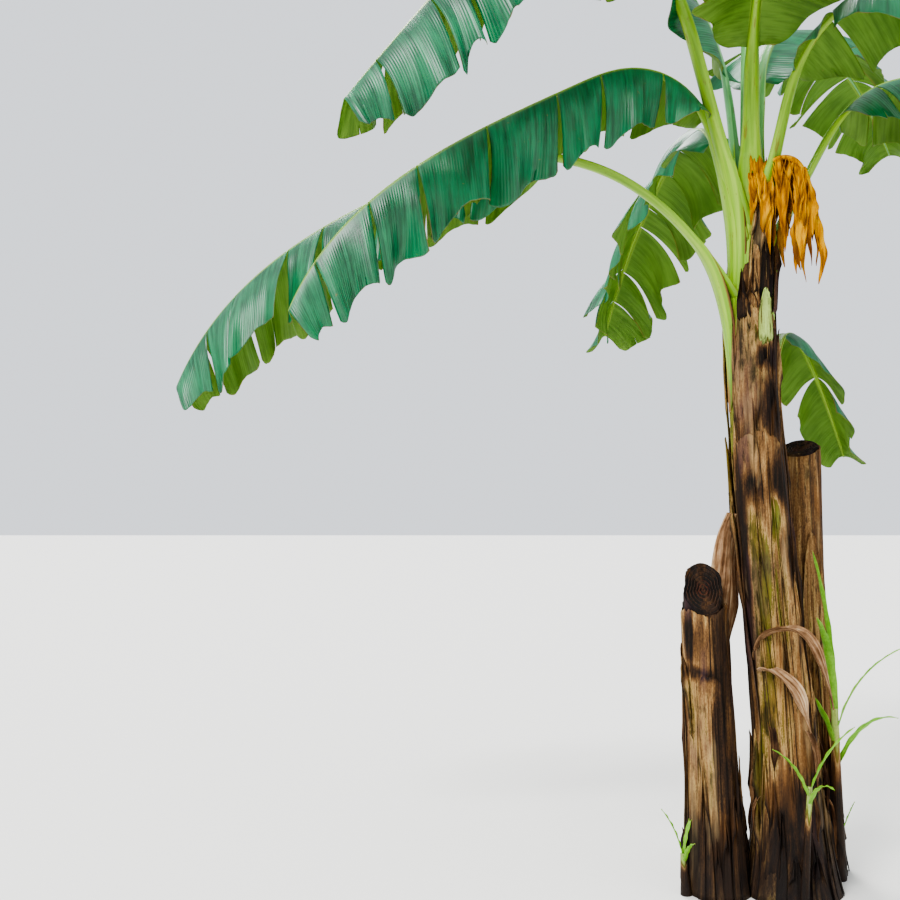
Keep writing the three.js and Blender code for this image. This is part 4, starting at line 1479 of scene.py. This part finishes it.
def strip_rule(strip):
    spine = strip_spine(strip)

    def rule(x, y):
        pointed = (0.6 + 0.45 * np.sin(np.pi * y)) * np.clip((1 - y) / 0.3, 0.04, 1) ** 0.7
        half = strip.width / 2 * pointed * (1 + 0.08 * np.sin(11 * y))
        across = 2 * x - 1
        cup = half * (0.55 * across**2 + 0.1 * np.sin(9 * y + 3 * across))
        ripple = 0.002 * np.sin(24 * across + 5 * y)
        where = spine.at(y * strip.length).off(across * half, cup + ripple)
        return where, (across, strip.length * y, strip.tone + 0 * y)

    return rule


for strip in STRIPS:
    bm = bmesh.new()
    patch(bm, columns=22, rows=80, rule=strip_rule(strip))
    dress(f"{strip.name}_sheet", bm, [papery], [strip.name], STRIP_WALL)

# %% [markdown]
# Low on the stem the ends of the oldest sheaths come loose and hang down close to it. They are
# slim, dark strips of the same kind, each with the heading and the height of its seat.

# %% Loose ends of old sheaths
LOOSE_ENDS = [
    (226, 0.62), (206, 0.36), (304, 0.6), (322, 0.5), (340, 0.36), (286, 0.4),
    (96, 0.56), (122, 0.34), (146, 0.48), (60, 0.4), (20, 0.58), (178, 0.44),
]
LOOSE_END_SEED = 41
LOOSE_END_WALL = 0.0016


def loose_end(seat, at, draw):
    length = drawn(draw, 0.21, 0.07)
    width = drawn(draw, 0.022, 0.007)
    heading = drawn(draw, seat, 60)
    slopes = (-30, drawn(draw, -78, 6), -88, -84)
    veer = 80 * next(draw)
    tone = drawn(draw, 0.3, 0.14)
    return Strip("loose_end", seat, at, heading, veer, length, width, slopes, tone)


bm = bmesh.new()
draw = stream(LOOSE_END_SEED)
for seat, at in LOOSE_ENDS:
    patch(bm, columns=10, rows=36, rule=strip_rule(loose_end(seat, at, draw)))
dress("loose_sheath_ends", bm, [papery], wall=LOOSE_END_WALL)

# %% [markdown]
# Suckers are the plant's own young shoots. Their stems are slim rolls of sheaths, purple-brown
# at the foot, and their leaves narrow swords folded along the midrib, slimmer here than in the
# solids.

# %% Suckers
Blade = namedtuple("Blade", "heading at length width rise tip")


class Shoot(StraightStem):
    """A sucker: a slim stem that narrows from its foot to its top, and its blades."""

    def __init__(self, name, x, y, lean_x, lean_y, height, foot_radius, top_radius, blades):
        super().__init__(x, y, lean_x, lean_y, height)
        self.name = name
        self.radii = (foot_radius, top_radius)
        self.blades = blades


SHOOTS = [
    Shoot("sucker_tall", 0.214, 0.1, -0.014, -0.022, 0.64, 0.033, 0.012, [
        Blade(196, 0.6, 0.64, 0.019, 88, 74),
        Blade(236, 0.56, 0.52, 0.02, 86, 30),
        Blade(330, 0.52, 0.46, 0.018, 78, 26),
        Blade(210, 0.47, 0.43, 0.017, 74, 10),
        Blade(20, 0.4, 0.38, 0.016, 66, -16),
        Blade(325, 0.12, 0.19, 0.009, 74, 66),
    ]),
    Shoot("sucker_front", -0.01, -0.18, 0.016, -0.03, 0.43, 0.017, 0.009, [
        Blade(350, 0.4, 0.29, 0.015, 72, 38),
        Blade(200, 0.38, 0.25, 0.013, 70, 26),
        Blade(280, 0.35, 0.22, 0.012, 66, -10),
    ]),
    Shoot("sucker_small", -0.392, -0.052, -0.014, -0.008, 0.15, 0.022, 0.009, [
        Blade(165, 0.13, 0.19, 0.012, 78, 50),
        Blade(20, 0.12, 0.22, 0.012, 84, 58),
        Blade(280, 0.1, 0.16, 0.011, 70, 20),
    ]),
]
SHOOT_FOLD = 0.35
SHOOT_SLIM = 0.82
SHOOT_FOOT = 0.3
SHOOT_TIP = 0.04
SHOOT_WALL = 0.0014


def shoot_stem_rule(shoot):
    def rule(angle, share):
        z = share * shoot.height
        seam = (angle / (2 * np.pi) + 1.3 * share) % 1
        reach = mix(*shoot.radii, share) * (1 - 0.1 * seam)
        tone = mix(0.22, 0.97, smooth((share + 0.05 * np.sin(3 * angle) - 0.55) / 0.3))
        return shoot.point(angle, z, reach), (0.8 * seam, z + 0.12, tone)

    return rule


def shoot_blade_rule(shoot, blade):
    def slope(s):
        return mix(blade.rise, blade.tip, (s / blade.length) ** 1.3)

    spine = Spine(shoot.axis(np.array(blade.at)), blade.heading, 0, blade.length, slope)

    def rule(x, y):
        outline = np.sin(np.pi * np.clip(0.12 + 0.86 * y, 0, 1)) ** 0.7
        outline = np.maximum(outline, np.where(y < 0.5, SHOOT_FOOT, SHOOT_TIP))
        half = SHOOT_SLIM * blade.width * outline
        across = 2 * x - 1
        ripple = 0.0016 * np.sin(34 * y + 2 * across) * np.abs(across)
        fold = SHOOT_FOLD * half * np.abs(across) ** 1.2 + ripple
        where = spine.at(y * blade.length).off(across * half, fold)
        return where, (y * blade.length, 0.02 + np.abs(across), smooth((y - 0.95) / 0.05))

    return rule


for shoot in SHOOTS:
    bm = bmesh.new()
    tube(bm, sides=28, rings=60, rule=shoot_stem_rule(shoot))
    dress(f"{shoot.name}_stem", bm, [young_skin])
    bm = bmesh.new()
    for blade in shoot.blades:
        patch(bm, columns=12, rows=40, rule=shoot_blade_rule(shoot, blade))
    dress(f"{shoot.name}_leaves", bm, [young_leaf], [shoot.name], SHOOT_WALL)
